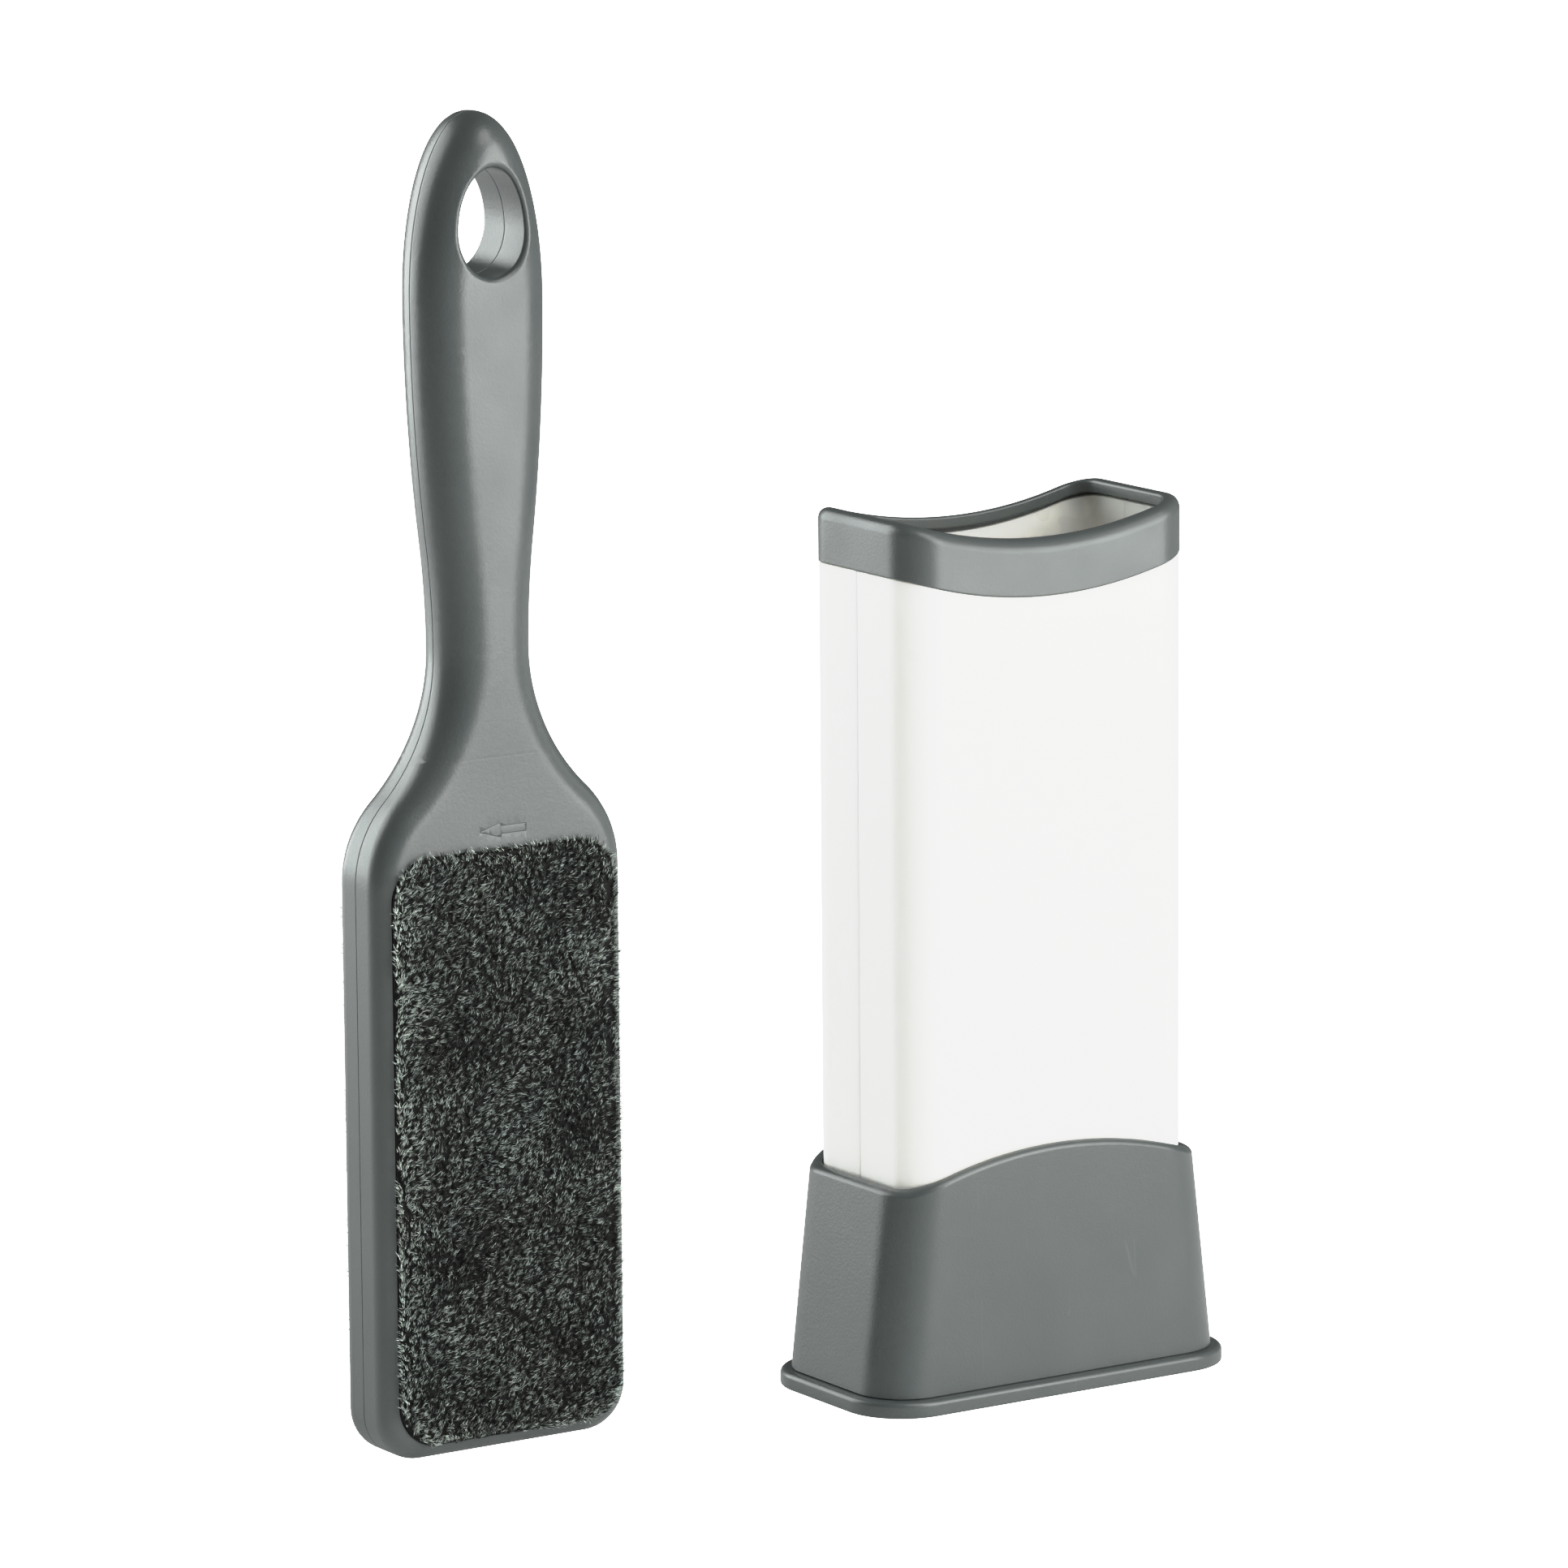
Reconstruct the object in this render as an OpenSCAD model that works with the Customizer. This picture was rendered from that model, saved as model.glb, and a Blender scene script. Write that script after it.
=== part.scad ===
// Two-sided lint brush standing beside its self-cleaning dock.
// Origin: centre of the dock's underside. X runs along the dock's broad face, the front faces -Y, Z is up.

/* [Brush] */
// Overall length of the brush, paddle end to handle tip
brush_l = 316; // [270:1:400]
// Thickness of the brush without its pads
brush_t = 20.6; // [16:0.1:26]
// Width of the paddle
paddle_w = 68; // [54:0.5:84]
// Height at which the paddle's straight sides end
paddle_h = 137; // [110:1:166]
// Radius of the paddle's lower corners, seen from the front
paddle_corner_r = 11; // [6:0.5:16]
// Rounding of the paddle's long edges
paddle_edge_r = 5.5; // [2:0.1:7]
// Convex radius of the shoulder
shoulder_r = 27; // [22:1:34]
// Concave radius between shoulder and neck
neck_r = 48; // [40:1:60]
// Narrowest width of the neck
neck_w = 24; // [20:0.5:29]
// Greatest width of the handle
handle_w = 34; // [30:0.5:41]
// Rounding of the handle's long edges
handle_edge_r = 9.6; // [5:0.1:9.9]
// Length of the elliptical handle tip
tip_h = 43; // [34:1:52]
// Part of the handle's swelling that the upper, convex arc takes
belly_part = 0.69; // [0.5:0.01:0.85]
// Wall of the two shells
shell_wall = 2.2; // [1.6:0.1:3]

/* [Hanging hole] */
// Width of the hole
hole_w = 17.8; // [12:0.1:21.4]
// Height of the hole below its widest point
hole_low = 10.5; // [8:0.1:13]
// Height of the hole above its widest point
hole_high = 15; // [9:0.1:18]
// From the handle's tip down to the hole's widest point
hole_drop = 27.5; // [25:0.5:36]

/* [Locating pins] */
// Outer radius of the pins inside the brush
post_r = 3; // [2.4:0.1:4]
// Radius of the back shell's spigots
spigot_r = 1.5; // [1:0.1:1.9]
// How far a spigot reaches into the front shell's pin
spigot_l = 5; // [3:0.5:6.5]
// Clearance round a spigot
spigot_gap = 0.1; // [0.05:0.01:0.2]

/* [Pads] */
// Width of a pad
pad_w = 60; // [46:0.5:66]
// Gap between the paddle's end and the pad
pad_bottom = 4; // [3:0.5:10]
// Height of a pad
pad_h = 140; // [110:1:156]
// Corner radius of a pad
pad_corner_r = 10; // [6:0.5:14]
// Thickness of the backing card
card_t = 1; // [0.6:0.1:1.5]
// Depth of the seat that the card lies in
card_seat = 0.8; // [0.4:0.1:1]
// Clearance round the card in its seat
card_gap = 0.3; // [0.1:0.05:0.6]
// Height of the velour's pile
pile_t = 2.4; // [1.6:0.1:3.2]

/* [Sleeve] */
// Overall height of the dock, to the ends of the rim
dock_h = 215; // [190:1:260]
// Space beside the paddle inside the sleeve
paddle_gap = 4.9; // [2:0.1:8]
// Wall of the sleeve
sleeve_wall = 2.2; // [1.8:0.1:3]
// Outer corner radius of the sleeve
sleeve_corner_r = 9.6; // [7:0.1:14]
// Width of the tongue where the two halves lap
lap_w = 3; // [2:0.5:5]
// Clearance in the lap
lap_gap = 0.1; // [0.05:0.01:0.2]

/* [Collar] */
// Height of the collar's band
collar_h = 13.8; // [10:0.1:18]
// Depth of the scoop in the rim
scoop = 6.8; // [4:0.1:9]
// Reach of the scoop past the sleeve's sides
scoop_reach = 0.3; // [-6:0.1:2]
// Thickness of the collar's roof
collar_roof = 3; // [2:0.1:4]
// How far the collar stands proud of the sleeve
collar_proud = 0.3; // [0.1:0.1:0.8]
// How far the collar's roof reaches in past the sleeve's wall
collar_lip = 1.6; // [0.8:0.1:2.2]
// Depth of the rebate in the sleeve that the collar's band fits over
collar_rebate = 1.1; // [0.8:0.1:1.2]
// Clearance between collar and sleeve
collar_gap = 0.1; // [0.05:0.01:0.2]

/* [Cleaning strips] */
// Width of a cleaning strip
wiper_w = 62; // [48:0.5:66]
// Height of a strip's carrier
wiper_h = 34; // [24:1:44]
// Thickness of the carrier
carrier_t = 4.6; // [3:0.1:6]
// Length of the carrier's lead-in ramps
carrier_ramp = 4; // [2:0.5:6]
// Height of the strip's pile
wiper_pile_t = 2.6; // [1.8:0.1:3.2]
// Space between a strip and the pad that passes it
wiper_gap = 0.4; // [0.2:0.1:1.5]
// From the scoop's lowest point down to the carrier
wiper_drop = 18; // [10:1:30]

/* [Foot] */
// Width added to the sleeve's on each side at the foot's lower edge
flare_x = 9.4; // [7:0.1:13]
// Depth added to the sleeve's on each side at the foot's lower edge
flare_y = 2.6; // [2.3:0.1:5]
// Wall of the skirt at its lip
lip_t = 2.2; // [1.8:0.1:3]
// Height of the skirt's lip at its ends
lip_z = 54; // [44:0.5:66]
// Rise of the arch in the middle of the broad faces
arch = 7.4; // [4:0.1:9]
// Reach of the arch past the sleeve's sides
arch_reach = -0.1; // [-6:0.1:2]
// Clearance round the sleeve in the skirt
sleeve_gap = 0.35; // [0.3:0.05:0.6]
// Height of the ledge that the sleeve stands on
ledge_z = 14; // [11:0.5:20]
// Width of that ledge
ledge_w = 2; // [1.5:0.1:3]
// Thickness of the floor and its flange
floor_t = 4; // [3:0.1:6]
// How far the flange stands out past the skirt
flange_w = 2.7; // [1.5:0.1:5]
// Thickness of the floor's upstanding rim and of its snap tabs
rim_t = 1.6; // [1.2:0.1:2]
// Height of the rim above the floor
rim_h = 4; // [2:0.5:6]
// Clearance between floor and skirt
floor_gap = 0.3; // [0.2:0.05:0.6]
// Height of the ribs that the paddle's end rests on
rest_h = 3; // [2:0.5:5]
// Height of the snap tabs above the floor
tab_h = 12; // [9:0.5:14]
// Width of a snap tab
tab_w = 7; // [5:0.5:9]
// How far the tab's barb catches
barb = 0.8; // [0.5:0.1:1]

/* [Place of the brush] */
// Gap between the brush and the dock's flange
brush_gap = 49.6; // [20:0.1:90]
// How far the brush stands behind the dock's middle
brush_y = 16; // [-10:0.5:30]

/* [Hidden] */
$fn = 64;

grey = [0.36, 0.39, 0.39];
white = [0.93, 0.92, 0.9];
charcoal = [0.13, 0.14, 0.14];
card_black = [0.06, 0.06, 0.06];

arc_fn = 180;      // segments of the large arcs in the rim and the arch
far = 400;         // larger than anything in the model
joint_bite = 0.2;  // how far a post runs into the wall that carries it

// Brush outline: tangent arcs from paddle to neck, then from neck to the widest part of the handle
shoulder_turn = acos(1 - (paddle_w - neck_w) / 2 / (shoulder_r + neck_r));
neck_z = paddle_h + (shoulder_r + neck_r) * sin(shoulder_turn);
tip_z = brush_l - tip_h;
belly_turn = 2 * atan((handle_w - neck_w) / 2 / (tip_z - neck_z));
belly_sum_r = (tip_z - neck_z) / sin(belly_turn);
belly_r = belly_sum_r * belly_part;
waist_r = belly_sum_r - belly_r;
waist_top_z = neck_z + waist_r * sin(belly_turn);
shoulder_top_z = paddle_h + shoulder_r * sin(shoulder_turn);
hole_z = brush_l - hole_drop;

// Stations along the brush at which its section is set
corner_step = 15;
stations = concat(
    [for (a = [0 : corner_step : 90]) paddle_corner_r * (1 - cos(a))],
    [paddle_h],
    [for (i = [1 : 5]) paddle_h + (shoulder_top_z - paddle_h) * i / 5],
    [for (i = [1 : 7]) shoulder_top_z + (neck_z - shoulder_top_z) * i / 7],
    [for (i = [1 : 3]) neck_z + (waist_top_z - neck_z) * i / 3],
    [for (i = [1 : 4]) waist_top_z + (tip_z - waist_top_z) * i / 4],
    [for (a = [10 : 10 : 80]) tip_z + tip_h * sin(a)],
    [tip_z + tip_h * sin(86)]
);
section_steps = 5;  // segments in each rounded corner of a section

post_places = [
    [-paddle_w / 4, paddle_h / 6], [paddle_w / 4, paddle_h / 6],
    [-paddle_w / 4, paddle_h * 5 / 6], [paddle_w / 4, paddle_h * 5 / 6],
    [0, neck_z + 4], [0, hole_z - hole_low - shell_wall - post_r - 8]
];

// Sleeve, worked out from the brush that goes into it
pad_proud = card_t - card_seat + pile_t;
sleeve_in_w = paddle_w + 2 * paddle_gap;
sleeve_in_d = brush_t + 2 * (pad_proud + wiper_gap + wiper_pile_t + carrier_t);
sleeve_w = sleeve_in_w + 2 * sleeve_wall;
sleeve_d = sleeve_in_d + 2 * sleeve_wall;
sleeve_in_r = sleeve_corner_r - sleeve_wall;
scoop_span = sleeve_w / 2 + scoop_reach;
scoop_r = (scoop_span * scoop_span + scoop * scoop) / (2 * scoop);
collar_low = dock_h - collar_h;
wiper_top = dock_h - scoop - wiper_drop;
wiper_low = wiper_top - wiper_h;

// Foot
arch_span = sleeve_w / 2 + arch_reach;
arch_r = (arch_span * arch_span + arch * arch) / (2 * arch);
foot_top = lip_z + arch;
foot_w = sleeve_w + 2 * flare_x;
foot_d = sleeve_d + 2 * flare_y;
foot_r = sleeve_corner_r + (flare_x + flare_y) / 4;
lip_w = sleeve_w + 2 * (lip_t + sleeve_gap);
lip_d = sleeve_d + 2 * (lip_t + sleeve_gap);
lip_r = sleeve_corner_r + lip_t + sleeve_gap;
flange_x = foot_w + 2 * flange_w;
flange_y = foot_d + 2 * flange_w;
flange_r = foot_r + flange_w;
tray_w = sleeve_w - 2 * ledge_w - 2 * sleeve_wall / 2;
tray_d = sleeve_d - 2 * ledge_w - 2 * sleeve_wall / 2;
tray_r = sleeve_corner_r - ledge_w;
socket_x = sleeve_w / 2 + sleeve_gap + lip_t;    // outer face of the socket's end walls
pocket_top = lip_z - 6;                          // top of the hollows in the skirt's ends
pocket_half_d = sleeve_d / 2 - sleeve_corner_r;  // half depth of those hollows
tab_y = pocket_half_d / 2 + 0.5;
tab_x = socket_x + floor_gap;
catch_z = floor_t + tab_h - 3;                   // underside of the tab's barb

brush_x = -(flange_x / 2 + brush_gap + paddle_w / 2);

// Half width of the brush at height z
function half_w(z) =
    z < paddle_corner_r ?
        paddle_w / 2 - paddle_corner_r + sqrt(pow(paddle_corner_r, 2) - pow(paddle_corner_r - z, 2)) :
    z <= paddle_h ? paddle_w / 2 :
    z <= shoulder_top_z ?
        paddle_w / 2 - shoulder_r + sqrt(pow(shoulder_r, 2) - pow(z - paddle_h, 2)) :
    z <= neck_z ? neck_w / 2 + neck_r - sqrt(pow(neck_r, 2) - pow(neck_z - z, 2)) :
    z <= waist_top_z ? neck_w / 2 + waist_r - sqrt(pow(waist_r, 2) - pow(z - neck_z, 2)) :
    z <= tip_z ? handle_w / 2 - belly_r + sqrt(pow(belly_r, 2) - pow(tip_z - z, 2)) :
    handle_w / 2 * sqrt(max(0, 1 - pow((z - tip_z) / tip_h, 2)));

// Rounding of the long edges at height z
function edge_r(z) =
    z <= paddle_h ? paddle_edge_r :
    z >= neck_z ? handle_edge_r :
    paddle_edge_r + (handle_edge_r - paddle_edge_r) * (z - paddle_h) / (neck_z - paddle_h);

// Half thickness of the brush at height z, rounded over at both ends
function half_t(z) =
    z < paddle_edge_r ?
        brush_t / 2 - paddle_edge_r + sqrt(pow(paddle_edge_r, 2) - pow(paddle_edge_r - z, 2)) :
    z > brush_l - handle_edge_r ?
        brush_t / 2 - handle_edge_r
            + sqrt(max(0, pow(handle_edge_r, 2) - pow(handle_edge_r - brush_l + z, 2))) :
    brush_t / 2;

// One section: a rounded rectangle with the same number of points at every height
function section(hw, ht, r, z) = [
    for (q = [0 : 3])
        for (k = [0 : section_steps])
            let (
                a = 90 * q + 90 * k / section_steps,
                sx = (q == 0 || q == 3) ? 1 : -1,
                sy = q < 2 ? 1 : -1
            )
            [sx * (hw - r) + r * cos(a), sy * (ht - r) + r * sin(a), z]
];

// Solid with the brush's outline, drawn in by the amount given
module brush_form(inset) {
    zs = [for (z = stations) if (z > inset && z < brush_l - inset - 1 || inset == 0) z];
    n = 4 * (section_steps + 1);
    last = len(zs) - 1;
    points = [
        for (z = zs)
            let (
                hw = max(0.6, half_w(z) - inset),
                ht = max(0.6, half_t(z) - inset),
                r = max(0.3, min(edge_r(z) - inset, hw - 0.05, ht - 0.05))
            )
            each section(hw, ht, r, z)
    ];
    sides = [
        for (i = [0 : last - 1])
            for (k = [0 : n - 1])
                let (a = i * n + k, b = i * n + (k + 1) % n)
                each [[a, b + n, b], [a, a + n, b + n]]
    ];
    bottom = [for (k = [0 : n - 1]) k];
    top = [for (k = [n - 1 : -1 : 0]) last * n + k];
    polyhedron(points = points, faces = concat([bottom, top], sides), convexity = 6);
}

// Outline of the hanging hole, grown by the amount given: a low and a high half ellipse
module hole_outline(grow) {
    polygon([
        for (a = [0 : 7.5 : 352.5])
            let (h = a < 180 ? hole_high : hole_low)
            [(hole_w / 2 + grow) * cos(a), (h + grow) * sin(a)]
    ]);
}

module hole_prism(grow) {
    translate([0, 0, hole_z]) rotate([90, 0, 0])
        linear_extrude(brush_t * 2, center = true) hole_outline(grow);
}

// Rounded rectangle of true arcs
module rounded(w, d, r) {
    square([w - 2 * r, d], center = true);
    square([w, d - 2 * r], center = true);
    for (sx = [-1, 1], sy = [-1, 1])
        translate([sx * (w / 2 - r), sy * (d / 2 - r)]) circle(r);
}

module block(w, d, r, z0, z1) {
    translate([0, 0, z0]) linear_extrude(z1 - z0) rounded(w, d, r);
}

// Everything on one side of the plane y = 0, side -1 is the front
module half_space(side, shift = 0) {
    translate([-far, side > 0 ? shift : -far - shift, -far]) cube([2 * far, far, 2 * far]);
}

// Everything below the scooped line whose ends are at height z_end
module under_scoop(z_end) {
    rotate([90, 0, 0]) linear_extrude(far, center = true)
        difference() {
            translate([-far / 2, -far]) square([far, far + z_end]);
            translate([0, z_end - scoop + scoop_r]) circle(scoop_r, $fn = arc_fn);
        }
}

// Everything below the skirt's arched edge
module under_arch() {
    rotate([90, 0, 0]) linear_extrude(far, center = true) {
        translate([-far / 2, -far]) square([far, far + lip_z]);
        intersection() {
            translate([0, foot_top - arch_r]) circle(arch_r, $fn = arc_fn);
            translate([-far / 2, lip_z - 1]) square([far, 2 * arch + 1]);
        }
    }
}

module at_brush() {
    translate([brush_x, brush_y, 0]) children();
}

// Seat cut into the paddle's face for the card
module card_recess(side) {
    translate([0, side * (brush_t / 2 - card_seat), 0])
        pad_plate(card_seat + 1, card_gap, side);
}

// Plate with the pad's outline, growing away from the paddle on its side
module pad_plate(t, grow, side) {
    translate([0, side > 0 ? t : 0, pad_bottom + pad_h / 2]) rotate([90, 0, 0])
        linear_extrude(t) rounded(pad_w + 2 * grow, pad_h + 2 * grow, pad_corner_r + grow);
}

// One hollow half of the clamshell, without its posts
module shell_half(side) {
    difference() {
        intersection() {
            brush_form(0);
            half_space(side);
        }
        difference() {
            brush_form(shell_wall);
            hole_prism(shell_wall);
            half_space(side, brush_t / 2 - card_seat - shell_wall);
        }
        hole_prism(0);
        card_recess(side);
    }
}

// A post from the wall on one side up to the parting plane
module post(place, side, r, reach) {
    wall_y = brush_t / 2 - card_seat - shell_wall + joint_bite;
    translate([place[0], side > 0 ? wall_y : reach, place[1]])
        rotate([90, 0, 0]) cylinder(r = r, h = wall_y + reach);
}

module brush_front_shell() {
    color(grey) at_brush() difference() {
        union() {
            shell_half(-1);
            for (p = post_places) post(p, -1, post_r, 0);
        }
        for (p = post_places)
            translate([p[0], 1, p[1]]) rotate([90, 0, 0])
                cylinder(r = spigot_r + spigot_gap, h = spigot_l + 1.5);
    }
}

module brush_back_shell() {
    color(grey) at_brush() {
        shell_half(1);
        for (p = post_places) {
            post(p, 1, post_r, 0);
            post(p, 1, spigot_r, spigot_l);
        }
    }
}

module pad_card(side) {
    color(card_black) at_brush()
        translate([0, side * (brush_t / 2 - card_seat), 0]) pad_plate(card_t, 0, side);
}

module pad_velour(side) {
    color(charcoal) at_brush()
        translate([0, side * (brush_t / 2 - card_seat + card_t), 0]) pad_plate(pile_t, 0, side);
}

module front_pad_card() { pad_card(-1); }
module front_pad_velour() { pad_velour(-1); }
module back_pad_card() { pad_card(1); }
module back_pad_velour() { pad_velour(1); }

// The sleeve's wall from its inner face out to the depth given
module sleeve_ring(t) {
    difference() {
        block(sleeve_in_w + 2 * t, sleeve_in_d + 2 * t, sleeve_in_r + t, ledge_z, dock_h);
        block(sleeve_in_w, sleeve_in_d, sleeve_in_r, ledge_z - 1, dock_h + 1);
    }
}

// The part of the sleeve that the collar covers, outside the rebate
module collar_seat() {
    neck = sleeve_wall - collar_rebate;
    difference() {
        block(sleeve_w + 2, sleeve_d + 2, sleeve_corner_r + 1, ledge_z, dock_h + 1);
        block(sleeve_in_w + 2 * neck, sleeve_in_d + 2 * neck, sleeve_in_r + neck, ledge_z - 1, dock_h + 2);
        under_scoop(collar_low);
    }
}

module sleeve_trim() {
    difference() {
        intersection() {
            children();
            under_scoop(dock_h - collar_roof);
        }
        collar_seat();
    }
}

// The front half carries the tongue, on the inner half of its wall
module sleeve_front_half() {
    color(white) sleeve_trim() {
        intersection() {
            sleeve_ring(sleeve_wall);
            half_space(-1);
        }
        intersection() {
            sleeve_ring(sleeve_wall / 2);
            translate([-far / 2, -1, 0]) cube([far, lap_w + 1, far]);
        }
    }
}

module sleeve_back_half() {
    color(white) sleeve_trim() difference() {
        intersection() {
            sleeve_ring(sleeve_wall);
            half_space(1);
        }
        intersection() {
            block(sleeve_in_w + sleeve_wall + 2 * lap_gap, sleeve_d, sleeve_in_r, ledge_z - 1, dock_h + 1);
            translate([-far / 2, -1, 0]) cube([far, lap_w + lap_gap + 1, far]);
        }
    }
}

module sleeve_collar() {
    neck = sleeve_wall - collar_rebate + collar_gap;
    color(grey) difference() {
        intersection() {
            block(sleeve_w + 2 * collar_proud, sleeve_d + 2 * collar_proud,
                sleeve_corner_r + collar_proud, collar_low - scoop - 1, dock_h + 1);
            under_scoop(dock_h);
        }
        under_scoop(collar_low);
        intersection() {
            block(sleeve_in_w + 2 * neck, sleeve_in_d + 2 * neck, sleeve_in_r + neck,
                collar_low - scoop - 2, dock_h + 2);
            under_scoop(dock_h - collar_roof);
        }
        block(sleeve_in_w - 2 * collar_lip, sleeve_in_d - 2 * collar_lip, sleeve_in_r - collar_lip,
            collar_low - scoop - 2, dock_h + 2);
    }
}

// Carrier with ramps above and below, standing on the inner face of the sleeve's broad wall
module wiper_carrier(side) {
    color(white) rotate([90, 0, 90]) linear_extrude(wiper_w, center = true)
        polygon([
            [side * sleeve_in_d / 2, wiper_low],
            [side * sleeve_in_d / 2, wiper_top],
            [side * (sleeve_in_d / 2 - carrier_t), wiper_top - carrier_ramp],
            [side * (sleeve_in_d / 2 - carrier_t), wiper_low + carrier_ramp]
        ]);
}

module wiper_velour(side) {
    face = sleeve_in_d / 2 - carrier_t - wiper_pile_t;
    color(charcoal)
        translate([-wiper_w / 2, side > 0 ? face : -face - wiper_pile_t, wiper_low + carrier_ramp])
            cube([wiper_w, wiper_pile_t, wiper_h - 2 * carrier_ramp]);
}

module front_wiper_carrier() { wiper_carrier(-1); }
module front_wiper_velour() { wiper_velour(-1); }
module back_wiper_carrier() { wiper_carrier(1); }
module back_wiper_velour() { wiper_velour(1); }

// Hollow in one end of the skirt, following the flare, with the lip's wall left outside it
module end_pocket(side) {
    reach_low = foot_w / 2 - lip_t;
    reach_top = reach_low - (foot_w - lip_w) / 2 * (pocket_top - floor_t) / (foot_top - floor_t);
    translate([0, pocket_half_d, 0]) rotate([90, 0, 0]) linear_extrude(2 * pocket_half_d)
        polygon([
            [side * socket_x, floor_t - 1],
            [side * reach_low, floor_t - 1],
            [side * max(socket_x + 0.4, reach_top), pocket_top],
            [side * socket_x, pocket_top]
        ]);
}

module foot_skirt() {
    catch_size = [barb + 0.2, tab_w + 1, 3];
    color(grey) difference() {
        intersection() {
            hull() {
                block(foot_w, foot_d, foot_r, floor_t, floor_t + 0.01);
                block(lip_w, lip_d, lip_r, foot_top, foot_top + 0.01);
            }
            under_arch();
        }
        block(sleeve_w + 2 * sleeve_gap, sleeve_d + 2 * sleeve_gap, sleeve_corner_r + sleeve_gap,
            ledge_z, foot_top + 1);
        block(tray_w, tray_d, tray_r, floor_t - 1, ledge_z + 1);
        for (side = [-1, 1]) {
            end_pocket(side);
            for (sy = [-1, 1])
                translate([side * (socket_x - catch_size[0] / 2 + 0.01), sy * tab_y, catch_z + 1.3])
                    cube(catch_size, center = true);
        }
    }
}

// Snap tab standing in an end pocket, its barb pointing at the socket's wall
module snap_tab(side, y) {
    translate([0, y + tab_w / 2, 0]) rotate([90, 0, 0]) linear_extrude(tab_w)
        polygon([
            [side * tab_x, floor_t - joint_bite],
            [side * (tab_x + rim_t), floor_t - joint_bite],
            [side * (tab_x + rim_t), floor_t + tab_h],
            [side * tab_x, floor_t + tab_h],
            [side * (tab_x - barb), catch_z + 0.6],
            [side * (tab_x - barb), catch_z],
            [side * tab_x, catch_z]
        ]);
}

module foot_floor() {
    color(grey) {
        block(flange_x, flange_y, flange_r, 0, floor_t);
        difference() {
            block(tray_w - 2 * floor_gap, tray_d - 2 * floor_gap, tray_r - floor_gap,
                floor_t - joint_bite, floor_t + rim_h);
            block(tray_w - 2 * (floor_gap + rim_t), tray_d - 2 * (floor_gap + rim_t),
                tray_r - floor_gap - rim_t, floor_t - 1, floor_t + rim_h + 1);
        }
        for (sx = [-1, 0, 1])
            translate([sx * paddle_w / 3 - rim_t / 2, -tray_d / 2 + floor_gap + rim_t / 2, floor_t - joint_bite])
                cube([rim_t, tray_d - 2 * floor_gap - rim_t, rest_h + joint_bite]);
        for (side = [-1, 1], sy = [-1, 1]) snap_tab(side, sy * tab_y);
    }
}

brush_front_shell();
brush_back_shell();
front_pad_card();
front_pad_velour();
back_pad_card();
back_pad_velour();
sleeve_front_half();
sleeve_back_half();
sleeve_collar();
front_wiper_carrier();
front_wiper_velour();
back_wiper_carrier();
back_wiper_velour();
foot_skirt();
foot_floor();
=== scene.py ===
import math

import bmesh
import bpy
import numpy as np
from mathutils import Matrix, Vector
from mathutils.geometry import delaunay_2d_cdt

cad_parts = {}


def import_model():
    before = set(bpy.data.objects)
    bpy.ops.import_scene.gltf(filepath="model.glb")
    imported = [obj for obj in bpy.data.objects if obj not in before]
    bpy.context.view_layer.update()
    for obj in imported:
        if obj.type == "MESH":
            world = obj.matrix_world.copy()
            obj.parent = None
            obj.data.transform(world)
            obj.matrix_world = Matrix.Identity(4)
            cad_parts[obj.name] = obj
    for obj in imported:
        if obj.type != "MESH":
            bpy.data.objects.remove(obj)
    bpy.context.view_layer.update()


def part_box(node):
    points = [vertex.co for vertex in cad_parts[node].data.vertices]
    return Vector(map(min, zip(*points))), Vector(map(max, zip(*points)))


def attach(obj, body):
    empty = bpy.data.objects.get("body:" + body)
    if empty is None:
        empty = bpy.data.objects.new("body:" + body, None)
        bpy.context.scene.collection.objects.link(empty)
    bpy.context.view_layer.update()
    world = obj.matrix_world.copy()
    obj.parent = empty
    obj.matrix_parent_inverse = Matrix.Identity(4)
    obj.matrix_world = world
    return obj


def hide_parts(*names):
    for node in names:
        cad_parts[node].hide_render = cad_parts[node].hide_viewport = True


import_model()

mm = 0.001
scene = bpy.context.scene


def nodeGroup(name, inputs, outputs):
    group = bpy.data.node_groups.new(name, "ShaderNodeTree")
    for label, kind, value in inputs:
        socket = group.interface.new_socket(name=label, in_out="INPUT", socket_type=kind)
        if value is not None:
            socket.default_value = value
    for label, kind in outputs:
        group.interface.new_socket(name=label, in_out="OUTPUT", socket_type=kind)
    return group, group.nodes.new("NodeGroupInput"), group.nodes.new("NodeGroupOutput")


def setInputs(node, **values):
    for label, value in values.items():
        node.inputs[label.replace("_", " ")].default_value = value


def addNode(tree, kind, settings=None, **values):
    node = tree.nodes.new(kind)
    for label, value in (settings or {}).items():
        setattr(node, label, value)
    setInputs(node, **values)
    return node


def feed(group, given, node, *labels):
    # Links the group's own inputs to the node's inputs of the same name
    for label in labels:
        group.links.new(given.outputs[label], node.inputs[label])


def mathNode(tree, operation, a, b=None, clamp=False):
    node = tree.nodes.new("ShaderNodeMath")
    node.operation = operation
    node.use_clamp = clamp
    for socket, value in zip(node.inputs, (a, b)):
        if value is None:
            continue
        if isinstance(value, (int, float)):
            socket.default_value = value
        else:
            tree.links.new(value, socket)
    return node.outputs[0]


def mixColors(tree, factor, a, b, blend="MIX"):
    node = tree.nodes.new("ShaderNodeMix")
    node.data_type = "RGBA"
    node.blend_type = blend
    for socket, value in ((node.inputs[0], factor), (node.inputs[6], a), (node.inputs[7], b)):
        if isinstance(value, (int, float)):
            socket.default_value = value
        elif isinstance(value, (tuple, list)):
            socket.default_value = (*value, 1) if len(value) == 3 else value
        else:
            tree.links.new(value, socket)
    return node.outputs[2]


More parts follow.
